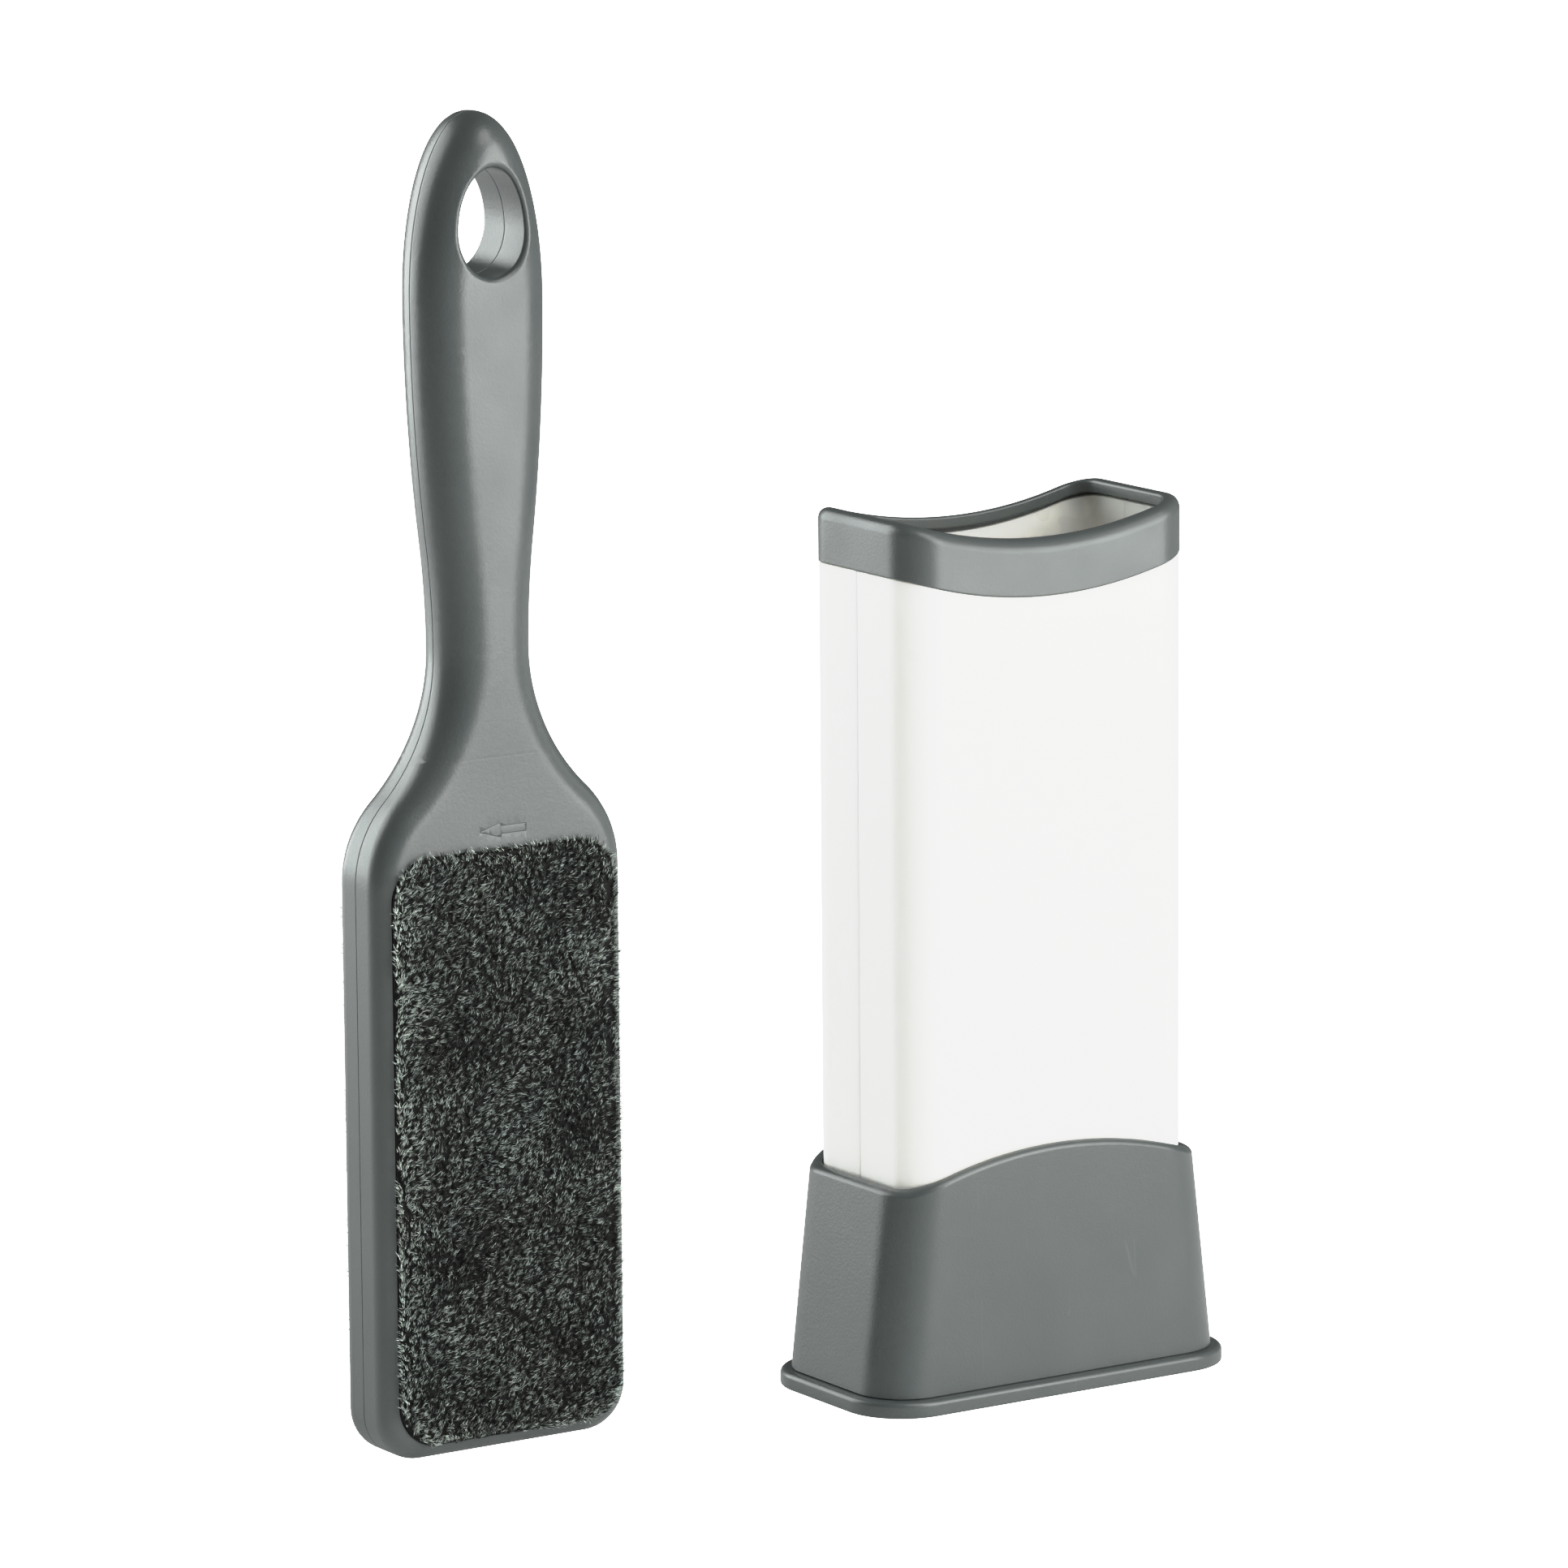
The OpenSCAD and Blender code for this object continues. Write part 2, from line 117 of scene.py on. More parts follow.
def mapped(tree, value, low, high, newLow, newHigh):
    node = tree.nodes.new("ShaderNodeMapRange")
    node.clamp = True
    tree.links.new(value, node.inputs["Value"])
    for label, number in zip(("From Min", "From Max", "To Min", "To Max"), (low, high, newLow, newHigh)):
        node.inputs[label].default_value = number
    return node.outputs[0]


def buildMouldGrain():  # fine spark-eroded grain of a moulded surface, with slow unevenness under it
    group, given, out = nodeGroup(
        "mouldGrain",
        [("Vector", "NodeSocketVector", None), ("Scale", "NodeSocketFloat", 1400.0),
         ("Unevenness", "NodeSocketFloat", 0.4)],
        [("Height", "NodeSocketFloat"), ("Mask", "NodeSocketFloat")])
    fine = addNode(group, "ShaderNodeTexNoise", Detail=3.0, Roughness=0.6)
    slow = addNode(group, "ShaderNodeTexNoise", Scale=45.0, Detail=2.0, Roughness=0.5)
    feed(group, given, fine, "Vector", "Scale")
    feed(group, given, slow, "Vector")
    uneven = mathNode(group, "MULTIPLY", slow.outputs[0], given.outputs["Unevenness"])
    group.links.new(mathNode(group, "ADD", fine.outputs[0], uneven), out.inputs["Height"])
    group.links.new(slow.outputs[0], out.inputs["Mask"])
    return group


def buildHandlingMarks():  # sparse fine scratches and small scuffs from use
    group, given, out = nodeGroup(
        "handlingMarks",
        [("Vector", "NodeSocketVector", None), ("Scale", "NodeSocketFloat", 60.0),
         ("Amount", "NodeSocketFloat", 0.5)],
        [("Mask", "NodeSocketFloat")])
    lean = addNode(group, "ShaderNodeMapping", Rotation=(0.5, 0.9, 0.3), Scale=(1.0, 1.0, 0.16))
    feed(group, given, lean, "Vector")
    lines = addNode(group, "ShaderNodeTexVoronoi", {"feature": "DISTANCE_TO_EDGE"})
    group.links.new(lean.outputs[0], lines.inputs["Vector"])
    feed(group, given, lines, "Scale")
    thin = mapped(group, lines.outputs["Distance"], 0.0, 0.006, 1.0, 0.0)
    where = addNode(group, "ShaderNodeTexNoise", Scale=70.0, Detail=1.0)
    feed(group, given, where, "Vector")
    sparse = mapped(group, where.outputs[0], 0.6, 0.68, 0.0, 1.0)
    marks = mathNode(group, "MULTIPLY", thin, sparse)
    group.links.new(mathNode(group, "MULTIPLY", marks, given.outputs["Amount"]), out.inputs["Mask"])
    return group


def buildCloudTint():  # slow change between two nearby colours
    group, given, out = nodeGroup(
        "cloudTint",
        [("Vector", "NodeSocketVector", None), ("Scale", "NodeSocketFloat", 30.0),
         ("First", "NodeSocketColor", None), ("Second", "NodeSocketColor", None)],
        [("Color", "NodeSocketColor")])
    cloud = addNode(group, "ShaderNodeTexNoise", Detail=4.0, Roughness=0.55)
    feed(group, given, cloud, "Vector", "Scale")
    share = mapped(group, cloud.outputs[0], 0.3, 0.7, 0.0, 1.0)
    mixed = mixColors(group, share, given.outputs["First"], given.outputs["Second"])
    group.links.new(mixed, out.inputs["Color"])
    return group


mouldGrain = buildMouldGrain()
handlingMarks = buildHandlingMarks()
cloudTint = buildCloudTint()


def placed(tree, group, vector, **values):
    node = tree.nodes.new("ShaderNodeGroup")
    node.node_tree = group
    tree.links.new(vector, node.inputs["Vector"])
    for label, value in values.items():
        node.inputs[label].default_value = (*value, 1) if isinstance(value, tuple) else value
    return node


def newMaterial(name, display):
    material = bpy.data.materials.new(name)
    material.use_nodes = True
    material.diffuse_color = (*display, 1)
    tree = material.node_tree
    shader = next(n for n in tree.nodes if n.type == "BSDF_PRINCIPLED")
    place = tree.nodes.new("ShaderNodeTexCoord")
    return material, tree, shader, place.outputs["Object"]


def addGrainBump(tree, grain, shader, strength, depth):
    bump = addNode(tree, "ShaderNodeBump", Strength=strength, Distance=depth)
    tree.links.new(grain.outputs["Height"], bump.inputs["Height"])
    tree.links.new(bump.outputs[0], shader.inputs["Normal"])


def mouldedPlastic(name, finish):
    material, tree, shader, vector = newMaterial(name, finish["color"])
    grain = placed(tree, mouldGrain, vector, Scale=finish["grainScale"], Unevenness=finish["unevenness"])
    marks = placed(tree, handlingMarks, vector, Scale=finish["markScale"], Amount=finish["marks"])
    tint = placed(tree, cloudTint, vector, Scale=28.0, First=finish["color"], Second=finish["colorTwo"])
    color = mixColors(tree, marks.outputs["Mask"], tint.outputs["Color"], finish["markColor"])
    tree.links.new(color, shader.inputs["Base Color"])
    swing = 0.04
    low, high = finish["roughness"] - swing, finish["roughness"] + swing
    rough = mapped(tree, grain.outputs["Mask"], 0.3, 0.7, low, high)
    scuffed = mathNode(tree, "MULTIPLY", marks.outputs["Mask"], 0.2)
    tree.links.new(mathNode(tree, "ADD", rough, scuffed), shader.inputs["Roughness"])
    addGrainBump(tree, grain, shader, finish["bump"], finish["bumpDepth"])
    setInputs(shader, IOR=finish["ior"])
    if finish.get("subsurface"):
        setInputs(shader, Subsurface_Weight=finish["subsurface"], Subsurface_Radius=(1.0, 0.9, 0.75),
                  Subsurface_Scale=5 * mm)
    return material


greyFinish = {
    "color": (0.072, 0.085, 0.084),
    "colorTwo": (0.084, 0.095, 0.094),
    "markColor": (0.22, 0.23, 0.225),
    "roughness": 0.34,
    "ior": 1.58,
    "grainScale": 1500.0,
    "unevenness": 0.2,
    "markScale": 55.0,
    "marks": 0.12,
    "bump": 0.22,
    "bumpDepth": 0.2 * mm,
}
whiteFinish = {
    "color": (0.93, 0.905, 0.825),
    "colorTwo": (0.94, 0.92, 0.85),
    "markColor": (0.62, 0.6, 0.55),
    "roughness": 0.3,
    "ior": 1.49,
    "grainScale": 700.0,
    "unevenness": 1.0,
    "markScale": 48.0,
    "marks": 0.08,
    "bump": 0.05,
    "bumpDepth": 0.15 * mm,
    "subsurface": 0.55,
}
greyPlastic = mouldedPlastic("greyPlastic", greyFinish)
whitePlastic = mouldedPlastic("whitePlastic", whiteFinish)


def makeCardMaterial():
    material, tree, shader, vector = newMaterial("blackCard", (0.02, 0.02, 0.02))
    tint = placed(tree, cloudTint, vector, Scale=300.0, First=(0.014, 0.014, 0.015),
                  Second=(0.028, 0.028, 0.029))
    grain = placed(tree, mouldGrain, vector, Scale=2600.0, Unevenness=0.2)
    tree.links.new(tint.outputs["Color"], shader.inputs["Base Color"])
    addGrainBump(tree, grain, shader, 0.5, 0.1 * mm)
    setInputs(shader, Roughness=0.8)
    return material


def makeVelourMaterial():  # dark pile; the "tone" attribute holds each fibre's shade from root to tip, with painted shade at the root and painted glints at the tip and on the lighter fibres
    material, tree, shader, vector = newMaterial("velourPile", (0.12, 0.13, 0.13))
    tone = addNode(tree, "ShaderNodeAttribute", {"attribute_name": "tone"})
    ramp = tree.nodes.new("ShaderNodeValToRGB")
    stops = ramp.color_ramp.elements
    for index, (place, shade) in enumerate(pileShades):
        stop = stops[index] if index < 2 else stops.new(place)  # a new ramp has two stops of its own
        stop.position = place
        stop.color = (*shade, 1)
    tree.links.new(tone.outputs["Fac"], ramp.inputs[0])
    tint = placed(tree, cloudTint, vector, Scale=60.0, First=(0.86, 0.92, 0.9), Second=(1.0, 1.0, 0.96))
    color = mixColors(tree, 1.0, ramp.outputs[0], tint.outputs["Color"], "MULTIPLY")
    tree.links.new(color, shader.inputs["Base Color"])
    setInputs(shader, Roughness=0.5, Specular_IOR_Level=0.1, Sheen_Weight=0.02)
    return material


pileShades = [
    (0.0, (0.002, 0.002, 0.002)),
    (1.0, (0.87, 0.95, 0.92)),
    (0.3, (0.018, 0.019, 0.018)),
    (0.62, (0.165, 0.176, 0.168)),
]
blackCard = makeCardMaterial()
velourPile = makeVelourMaterial()
print("materials ready")


class Shape:  # points in millimetres and faces, gathered until the piece is made
    def __init__(self):
        self.points = []
        self.faces = []

    def add(self, points, faces):
        start = len(self.points)
        self.points.extend(tuple(float(c) for c in p) for p in points)
        self.faces.extend(tuple(start + i for i in face) for face in faces)


def nodeFor(side, pattern):
    # Side -1 is the front and 1 is the back
    return pattern.replace("*", "front" if side < 0 else "back")


def makePiece(node, shape, material, body, smoothAngle=38, outward=True):
    words = node.split("_")
    name = words[0] + "".join(word.title() for word in words[1:])
    mesh = bpy.data.meshes.new(name)
    mesh.from_pydata([(x * mm, y * mm, z * mm) for x, y, z in shape.points], [], shape.faces)
    if outward:
        work = bmesh.new()
        work.from_mesh(mesh)
        bmesh.ops.recalc_face_normals(work, faces=work.faces)
        work.to_mesh(mesh)
        work.free()
    mesh.polygons.foreach_set("use_smooth", [True] * len(mesh.polygons))
    mesh.set_sharp_from_angle(angle=math.radians(smoothAngle))
    mesh.materials.append(material)
    mesh.update()
    piece = bpy.data.objects.new(name, mesh)
    scene.collection.objects.link(piece)
    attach(piece, body)
    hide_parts(node)
    if outward:
        even = piece.modifiers.new("evenShading", "WEIGHTED_NORMAL")
        even.keep_sharp = True
    print("made", name, len(mesh.polygons), "faces")
    return piece


def stepsBetween(a, b, count):
    return [a + (b - a) * i / count for i in range(count)]


def roundPath(broad=56, narrow=6, corner=16):
    # Way round a rounded rectangle from the middle of its right side: place along the straights, outward turn
    way = [(1, c, 1, 0) for c in stepsBetween(0, 1, narrow)]
    for sx, sy, turn in ((1, 1, 0), (-1, 1, 90), (-1, -1, 180), (1, -1, 270)):
        for a in stepsBetween(turn, turn + 90, corner):
            way.append((sx, sy, math.cos(math.radians(a)), math.sin(math.radians(a))))
        if turn == 0:
            way += [(c, 1, 0, 1) for c in stepsBetween(1, -1, broad)]
        elif turn == 90:
            way += [(-1, c, -1, 0) for c in stepsBetween(1, -1, 2 * narrow)]
        elif turn == 180:
            way += [(c, -1, 0, -1) for c in stepsBetween(-1, 1, broad)]
        else:
            way += [(1, c, 1, 0) for c in stepsBetween(-1, 0, narrow)]
    return way


def onRing(ring, at):
    halfW, halfD, r = ring
    r = max(r, 0.2)
    return at[0] * (halfW - r) + r * at[2], at[1] * (halfD - r) + r * at[3]


def roundedProfile(corners, steps=6):
    # corners: (offset, height, rounding, follows the curve); each corner with a rounding becomes an arc
    out = []
    count = len(corners)
    for i, (o, z, r, k) in enumerate(corners):
        if r <= 0:
            out.append((o, z, k))
            continue
        before = Vector(corners[i - 1][:2]) - Vector((o, z))
        after = Vector(corners[(i + 1) % count][:2]) - Vector((o, z))
        half = before.angle(after) / 2
        reach = r / math.tan(half)
        middle = Vector((o, z)) + (before.normalized() + after.normalized()).normalized() * r / math.sin(half)
        start = Vector((o, z)) + before.normalized() * reach - middle
        stop = Vector((o, z)) + after.normalized() * reach - middle
        turn = start.angle(stop)
        for s in range(steps + 1):
            share = s / steps
            spoke = start * math.sin((1 - share) * turn) + stop * math.sin(share * turn)
            spoke /= math.sin(turn)
            out.append((middle.x + spoke.x, middle.y + spoke.y, k))
    return out


def sweep(way, profile, ring, curve=None, closedWay=True, closedProfile=True, nudge=None):
    # Carries a profile round a path; ring(offset, height) is the path's size, curve(x) lifts what follows it
    shape = Shape()
    across = len(profile)
    for i, at in enumerate(way):
        for o, height, follows in profile:
            o = o + (nudge(i, o) if nudge else 0)
            z = height
            for _ in range(3 if curve and follows else 1):
                x, y = onRing(ring(o, z), at)
                z = height + follows * curve(x) if curve else height
            shape.points.append((x, y, z))
    total = len(way)
    for i in range(total if closedWay else total - 1):
        j = (i + 1) % total
        for k in range(across if closedProfile else across - 1):
            m = (k + 1) % across
            shape.faces.append((i * across + k, j * across + k, j * across + m, i * across + m))
    if not closedProfile:
        shape.faces.append(tuple(i * across for i in range(total)))
        shape.faces.append(tuple(i * across + across - 1 for i in reversed(range(total))))
    if not closedWay:
        shape.faces.append(tuple(range(across)))
        shape.faces.append(tuple((total - 1) * across + k for k in reversed(range(across))))
    return shape


def band(row, count):
    # Faces between one ring of points and the next
    low, high = row * count, (row + 1) * count
    return [(low + i, low + (i + 1) % count, high + (i + 1) % count, high + i) for i in range(count)]


def ringPoints(way, ring, center, y):
    return [(center[0] + x, y, center[1] + z) for x, z in (onRing(ring, at) for at in way)]


def addBlock(shape, low, high, chamfer=0.3):
    # Box with chamfered upright and top edges
    (x0, y0, z0), (x1, y1, z1) = low, high
    c = min(chamfer, (x1 - x0) / 3, (y1 - y0) / 3, (z1 - z0) / 3)

    def level(z, inset):
        a0, a1, b0, b1 = x0 + inset, x1 - inset, y0 + inset, y1 - inset
        return [(a0 + c, b0, z), (a1 - c, b0, z), (a1, b0 + c, z), (a1, b1 - c, z),
                (a1 - c, b1, z), (a0 + c, b1, z), (a0, b1 - c, z), (a0, b0 + c, z)]

    points = level(z0, 0) + level(z1 - c, 0) + level(z1, c * 0.9)
    faces = [tuple(range(7, -1, -1)), tuple(range(16, 24))]
    shape.add(points, faces + band(0, 8) + band(1, 8))


def addExtrusion(shape, outline, y0, y1):
    # Outline in x and z carried along y
    count = len(outline)
    points = [(x, y, z) for y in (y0, y1) for x, z in outline]
    faces = [tuple(range(count)), tuple(range(2 * count - 1, count - 1, -1))]
    shape.add(points, faces + band(0, count))


def nodeBox(node):
    low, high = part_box(node)
    return low / mm, high / mm


def arcOver(span, rise, ease=0.0):
    # Arc that is 0 at both ends of the span and `rise` in the middle; ease levels its ends
    size = abs(rise)
    radius = (span * span + size * size) / (2 * size)
    scale = size / (math.hypot(size, ease) - ease)

    def height(x):
        x = min(abs(x), span)
        arc = math.sqrt(radius * radius - x * x) - (radius - size)
        return math.copysign((math.hypot(arc, ease) - ease) * scale, rise)
    return height


collarHigh = nodeBox("sleeve_collar")[1]
frontLow, frontHigh = nodeBox("sleeve_front_half")
skirtLow, skirtHigh = nodeBox("foot_skirt")
floorHigh = nodeBox("foot_floor")[1]

collar = {
    "band": 13.8,        # height of the band at every point
    "scoop": 6.8,
    "reach": 41.4,       # half span of the scoop's arc
    "cornerR": 9.9,
    "roof": 3.0,
    "roofDepth": 4.1,    # from the outer face in to the lip
    "bandWall": 1.3,
    "topRound": 3.4,
    "lipRound": 0.6,
    "lowRound": 0.45,
    "endEase": 0.5,      # how softly the scoop levels out at the narrow sides
    "shadowGap": 1.3,    # open slit between the roof and the top of the wall
}
sleeve = {
    "wall": 2.2,
    "cornerR": 9.6,
    "rebate": 1.1,
    "tongue": 3.0,
    "seamWidth": 0.22,
    "seamDepth": 0.13,
    "partingGap": 0.03,
    "step": 0.05,        # the back half stands this far inside the front half
}
scoopCurve = arcOver(collar["reach"], -collar["scoop"], collar["endEase"])
fullWay = roundPath()


def makeCollar():
    halfW, halfD, r = collarHigh.x, collarHigh.y, collar["cornerR"]
    top = collarHigh.z
    low = top - collar["band"]
    profile = roundedProfile([
        (0, low, collar["lowRound"], 1),
        (0, top, collar["topRound"], 1),
        (-collar["roofDepth"], top, collar["lipRound"], 1),
        (-collar["roofDepth"], top - collar["roof"], 0.4, 1),
        (-collar["bandWall"], top - collar["roof"], 0, 1),
        (-collar["bandWall"], low, 0.2, 1),
    ], 8)
    shape = sweep(fullWay, profile, lambda o, z: (halfW + o, halfD + o, r + o), scoopCurve)
    return makePiece("sleeve_collar", shape, greyPlastic, "sleeve")


def makeSleeveHalf(side):
    # The front half carries the tongue, on the inner half of its wall
    halfW, halfD, r = frontHigh.x, -frontLow.y, sleeve["cornerR"]
    bottom = frontLow.z
    roofTop = collarHigh.z - collar["roof"] - collar["shadowGap"]
    shoulder = collarHigh.z - collar["band"]
    wall, rebate, tongue = sleeve["wall"], sleeve["rebate"], sleeve["tongue"]
    flat = halfD - r
    gap, seam, deep, step = sleeve["partingGap"], sleeve["seamWidth"], sleeve["seamDepth"], sleeve["step"]
    # Near the seam: distance from the parting plane on this half's side, outer shift, inner shift
    if side < 0:
        stations = [(-tongue, -wall / 2, 0), (-gap / 2 + 0.001, -wall / 2, 0), (gap, -deep, 0),
                    (seam, 0, 0), (seam + 1.5, 0, 0)]
    else:
        socket = wall / 2 - 0.1
        stations = [(gap, -deep - step, socket), (seam, -step, socket), (seam + 1.2, -step, socket),
                    (tongue + 0.1, -step, socket), (tongue + 0.102, -step, 0), (tongue + 3, 0, 0)]
    turns = [math.radians(a) for a in stepsBetween(0, 90, 16) + [90]]
    seamShifts = [(outer, inner) for y, outer, inner in stations]
    way = [(-1, side * y / flat, -1, 0) for y, outer, inner in stations]
    way += [(-1, side, -math.cos(a), side * math.sin(a)) for a in turns[:-1]]
    way += [(c, side, 0, side) for c in stepsBetween(-1, 1, 56)]
    way += [(1, side, math.sin(a), side * math.cos(a)) for a in turns]
    shifts = seamShifts + [(0, 0)] * (len(way) - len(stations)) + seamShifts[::-1]
    way += [(1, side * y / flat, 1, 0) for y, outer, inner in reversed(stations)]
    profile = roundedProfile([
        (0, bottom, 0.3, 0),
        (0, shoulder, 0.35, 1),
        (-rebate, shoulder, 0, 1),
        (-rebate, roofTop, 0.2, 1),
        (-wall, roofTop, 0.2, 1),
        (-wall, bottom, 0.3, 0),
    ], 4)

    def nudge(i, o):
        outer, inner = shifts[i]
        share = min(1, max(0, (o + wall) / wall))  # 1 on the outer face, 0 on the inner face
        if outer <= -wall / 2:
            return min(0, -wall / 2 - o) if o > -wall / 2 else 0
        return outer * share * share + inner * (1 - share)

    shape = sweep(way, profile, lambda o, z: (halfW + o, halfD + o, r + o), scoopCurve, closedWay=False,
                  nudge=nudge)
    return makePiece(nodeFor(side, "sleeve_*_half"), shape, whitePlastic, "sleeve")


foot = {
    "lipWall": 2.2,
    "lipSize": (43.65, 25.25, 12.15),
    "lowSize": (50.5, 25.3, 12.6),
    "arch": 7.4,
    "archReach": 41.0,
    "socketR": 9.95,
    "socketGap": 0.35,
    "ledge": 14.0,
    "ledgeWidth": 3.45,
    "lipRound": 1.5,
    "floorThickness": 4.0,
    "flangeR": 15.3,
    "flangeTopRound": 1.3,
    "flangeWidth": 3.4,
    "traySize": (37.7, 19.3, 7.3),
    "rimHeight": 4.0,
    "rimWall": 1.6,
    "restHeight": 3.0,
    "restHalf": 0.8,     # half thickness of the three rests
    "restStep": 68 / 3,
    "tabHeight": 12.0,
    "tabWidth": 7.0,
    "tabPlace": 7.05,
    "tabGap": 0.3,
    "hook": 0.8,
    "hookDrop": 3.0,
    "sink": 0.2,         # how far the rim, rests and tabs reach into the plate
}


def makeSkirt():
    lip, low = foot["lipSize"], foot["lowSize"]
    socket = (frontHigh.x + foot["socketGap"], -frontLow.y + foot["socketGap"], foot["socketR"])
    zLow, zTop = skirtLow.z, skirtHigh.z
    archEnd = zTop - foot["arch"]

    def ring(o, z):
        share = (z - zLow) / (zTop - zLow)
        outer = [a + (b - a) * share for a, b in zip(low, lip)]
        inward = min(1, -o / foot["lipWall"])
        extra = min(0, o + foot["lipWall"])
        return [a + (b - a) * inward + extra for a, b in zip(outer, socket)]

    deep = -foot["lipWall"] - foot["ledgeWidth"]
    profile = roundedProfile([
        (0, zLow, 0.3, 0),
        (0, archEnd, foot["lipRound"], 1),
        (-foot["lipWall"], archEnd, 0.4, 1),
        (-foot["lipWall"], foot["ledge"], 0, 0),
        (deep, foot["ledge"], 0.2, 0),
        (deep, zLow, 0, 0),
    ], 8)
    shape = sweep(fullWay, profile, ring, arcOver(foot["archReach"], foot["arch"]))
    return makePiece("foot_skirt", shape, greyPlastic, "foot")


def makeFloor():
    halfW, halfD = floorHigh.x, floorHigh.y
    thick, wall = foot["floorThickness"], foot["rimWall"]
    profile = roundedProfile([
        (-2.5, 0, 0, 0),
        (0, 0, 0.5, 0),
        (0, thick, foot["flangeTopRound"], 0),
        (-foot["flangeWidth"], thick, 0, 0),
    ], 8)
    flange = foot["flangeR"]
    shape = sweep(fullWay, profile, lambda o, z: (halfW + o, halfD + o, flange + o), closedProfile=False)
    trayW, trayD, trayR = foot["traySize"]
    low = thick - foot["sink"]
    rimTop = thick + foot["rimHeight"]
    rimCorners = [(0, low, 0, 0), (0, rimTop, 0.3, 0), (-wall, rimTop, 0.3, 0), (-wall, low, 0, 0)]
    rim = roundedProfile(rimCorners, 3)
    rimShape = sweep(roundPath(8, 2, 8), rim, lambda o, z: (trayW + o, trayD + o, trayR + o))
    shape.add(rimShape.points, rimShape.faces)
    restHalf, restTop = foot["restHalf"], thick + foot["restHeight"]
    for x in (-foot["restStep"], 0, foot["restStep"]):
        addBlock(shape, (x - restHalf, -trayD + 0.9, low), (x + restHalf, trayD - 0.9, restTop))
    tabX = frontHigh.x + foot["socketGap"] + foot["lipWall"] + foot["tabGap"]
    tabTop = thick + foot["tabHeight"]
    catch = tabTop - foot["hookDrop"]
    outline = [(tabX, low), (tabX + wall, low), (tabX + wall, tabTop), (tabX, tabTop),
               (tabX - foot["hook"], catch + 0.6), (tabX - foot["hook"], catch), (tabX, catch)]
    for side in (-1, 1):
        for y in (-foot["tabPlace"], foot["tabPlace"]):
            addExtrusion(shape, [(side * x, z) for x, z in outline],
                         y - foot["tabWidth"] / 2, y + foot["tabWidth"] / 2)
    return makePiece("foot_floor", shape, greyPlastic, "foot")


carrier = {
    "ramp": 4.0,         # lead-in slope at each end
    "softEdge": 0.5,
}


def makeCarrier(side):
    node = nodeFor(side, "*_wiper_carrier")
    low, high = nodeBox(node)
    ramp = carrier["ramp"]
    wallY, faceY = (low.y, high.y) if side < 0 else (high.y, low.y)
    outline = [(wallY, low.z), (wallY, high.z), (faceY, high.z - ramp), (faceY, low.z + ramp)]
    shape = Shape()
    points = [(x, y, z) for x in (low.x, high.x) for y, z in outline]
    shape.add(points, [(0, 1, 2, 3), (7, 6, 5, 4), (0, 4, 5, 1), (1, 5, 6, 2), (2, 6, 7, 3), (3, 7, 4, 0)])
    piece = makePiece(node, shape, whitePlastic, "sleeve")
    soften = piece.modifiers.new("softEdges", "BEVEL")
    soften.width = carrier["softEdge"] * mm
    soften.segments = 3
    piece.modifiers.move(1, 0)
    return piece


shellLow, shellHigh = nodeBox("brush_front_shell")
brushX = (shellLow.x + shellHigh.x) / 2
brushY = shellHigh.y            # the parting plane
halfT = brushY - shellLow.y
brushTop = shellHigh.z
paddleHalf = (shellHigh.x - shellLow.x) / 2

brush = {
    "paddleTop": 137.0,
    "cornerR": 11.0,
    "shoulderR": 27.0,
    "neckR": 48.0,
    "neckHalf": 12.0,
    "handleHalf": 17.0,
    "tip": 43.0,
    "bellyPart": 0.69,
    "paddleEdge": 5.5,
    "handleEdge": 9.6,
    "seamWidth": 0.15,
    "seamDepth": 0.22,
    "holeHalf": 8.9,
    "holeLow": 10.5,
    "holeHigh": 15.0,
    "holeDrop": 27.5,
    "holeRound": 1.5,
    "seatDepth": 0.8,
    "seatGap": 0.3,      # room round the card in its seat
    "witnessZ": 166.0,   # fine line that the mould leaves across the handle
    "witnessHalf": 18.0,
    "witnessWidth": 0.25,
    "witnessDepth": 0.025,
}
arrow = {
    "middle": (0.0, 148.6),
    "length": 12.7,
    "head": 5.8,
    "headHalf": 1.75,
    "shaftHalf": 0.95,
    "lineWidth": 0.32,
    "lineDepth": 0.13,
}
padBoxLow, padBoxHigh = nodeBox("front_pad_velour")
padHalf = (padBoxHigh.x - padBoxLow.x) / 2
padMiddle = (padBoxLow.z + padBoxHigh.z) / 2
padHalfTall = (padBoxHigh.z - padBoxLow.z) / 2
padCornerR = 10.0

tipZ = brushTop - brush["tip"]
shoulderTurn = math.acos(1 - (paddleHalf - brush["neckHalf"]) / (brush["shoulderR"] + brush["neckR"]))
neckZ = brush["paddleTop"] + (brush["shoulderR"] + brush["neckR"]) * math.sin(shoulderTurn)
bellyTurn = 2 * math.atan((brush["handleHalf"] - brush["neckHalf"]) / (tipZ - neckZ))
bellySum = (tipZ - neckZ) / math.sin(bellyTurn)
bellyR = bellySum * brush["bellyPart"]
waistR = bellySum - bellyR
holeZ = brushTop - brush["holeDrop"]


def ellipseInset(u, v, a, b):
    # How far both half sizes of an ellipse shrink until it passes through each point
    low = np.full(u.shape, -60.0)
    high = np.full(u.shape, min(a, b) - 1e-6)
    for _ in range(48):
        middle = (low + high) / 2
        outside = (u / (a - middle)) ** 2 + (v / (b - middle)) ** 2 > 1
        high = np.where(outside, middle, high)
        low = np.where(outside, low, middle)
    return (low + high) / 2


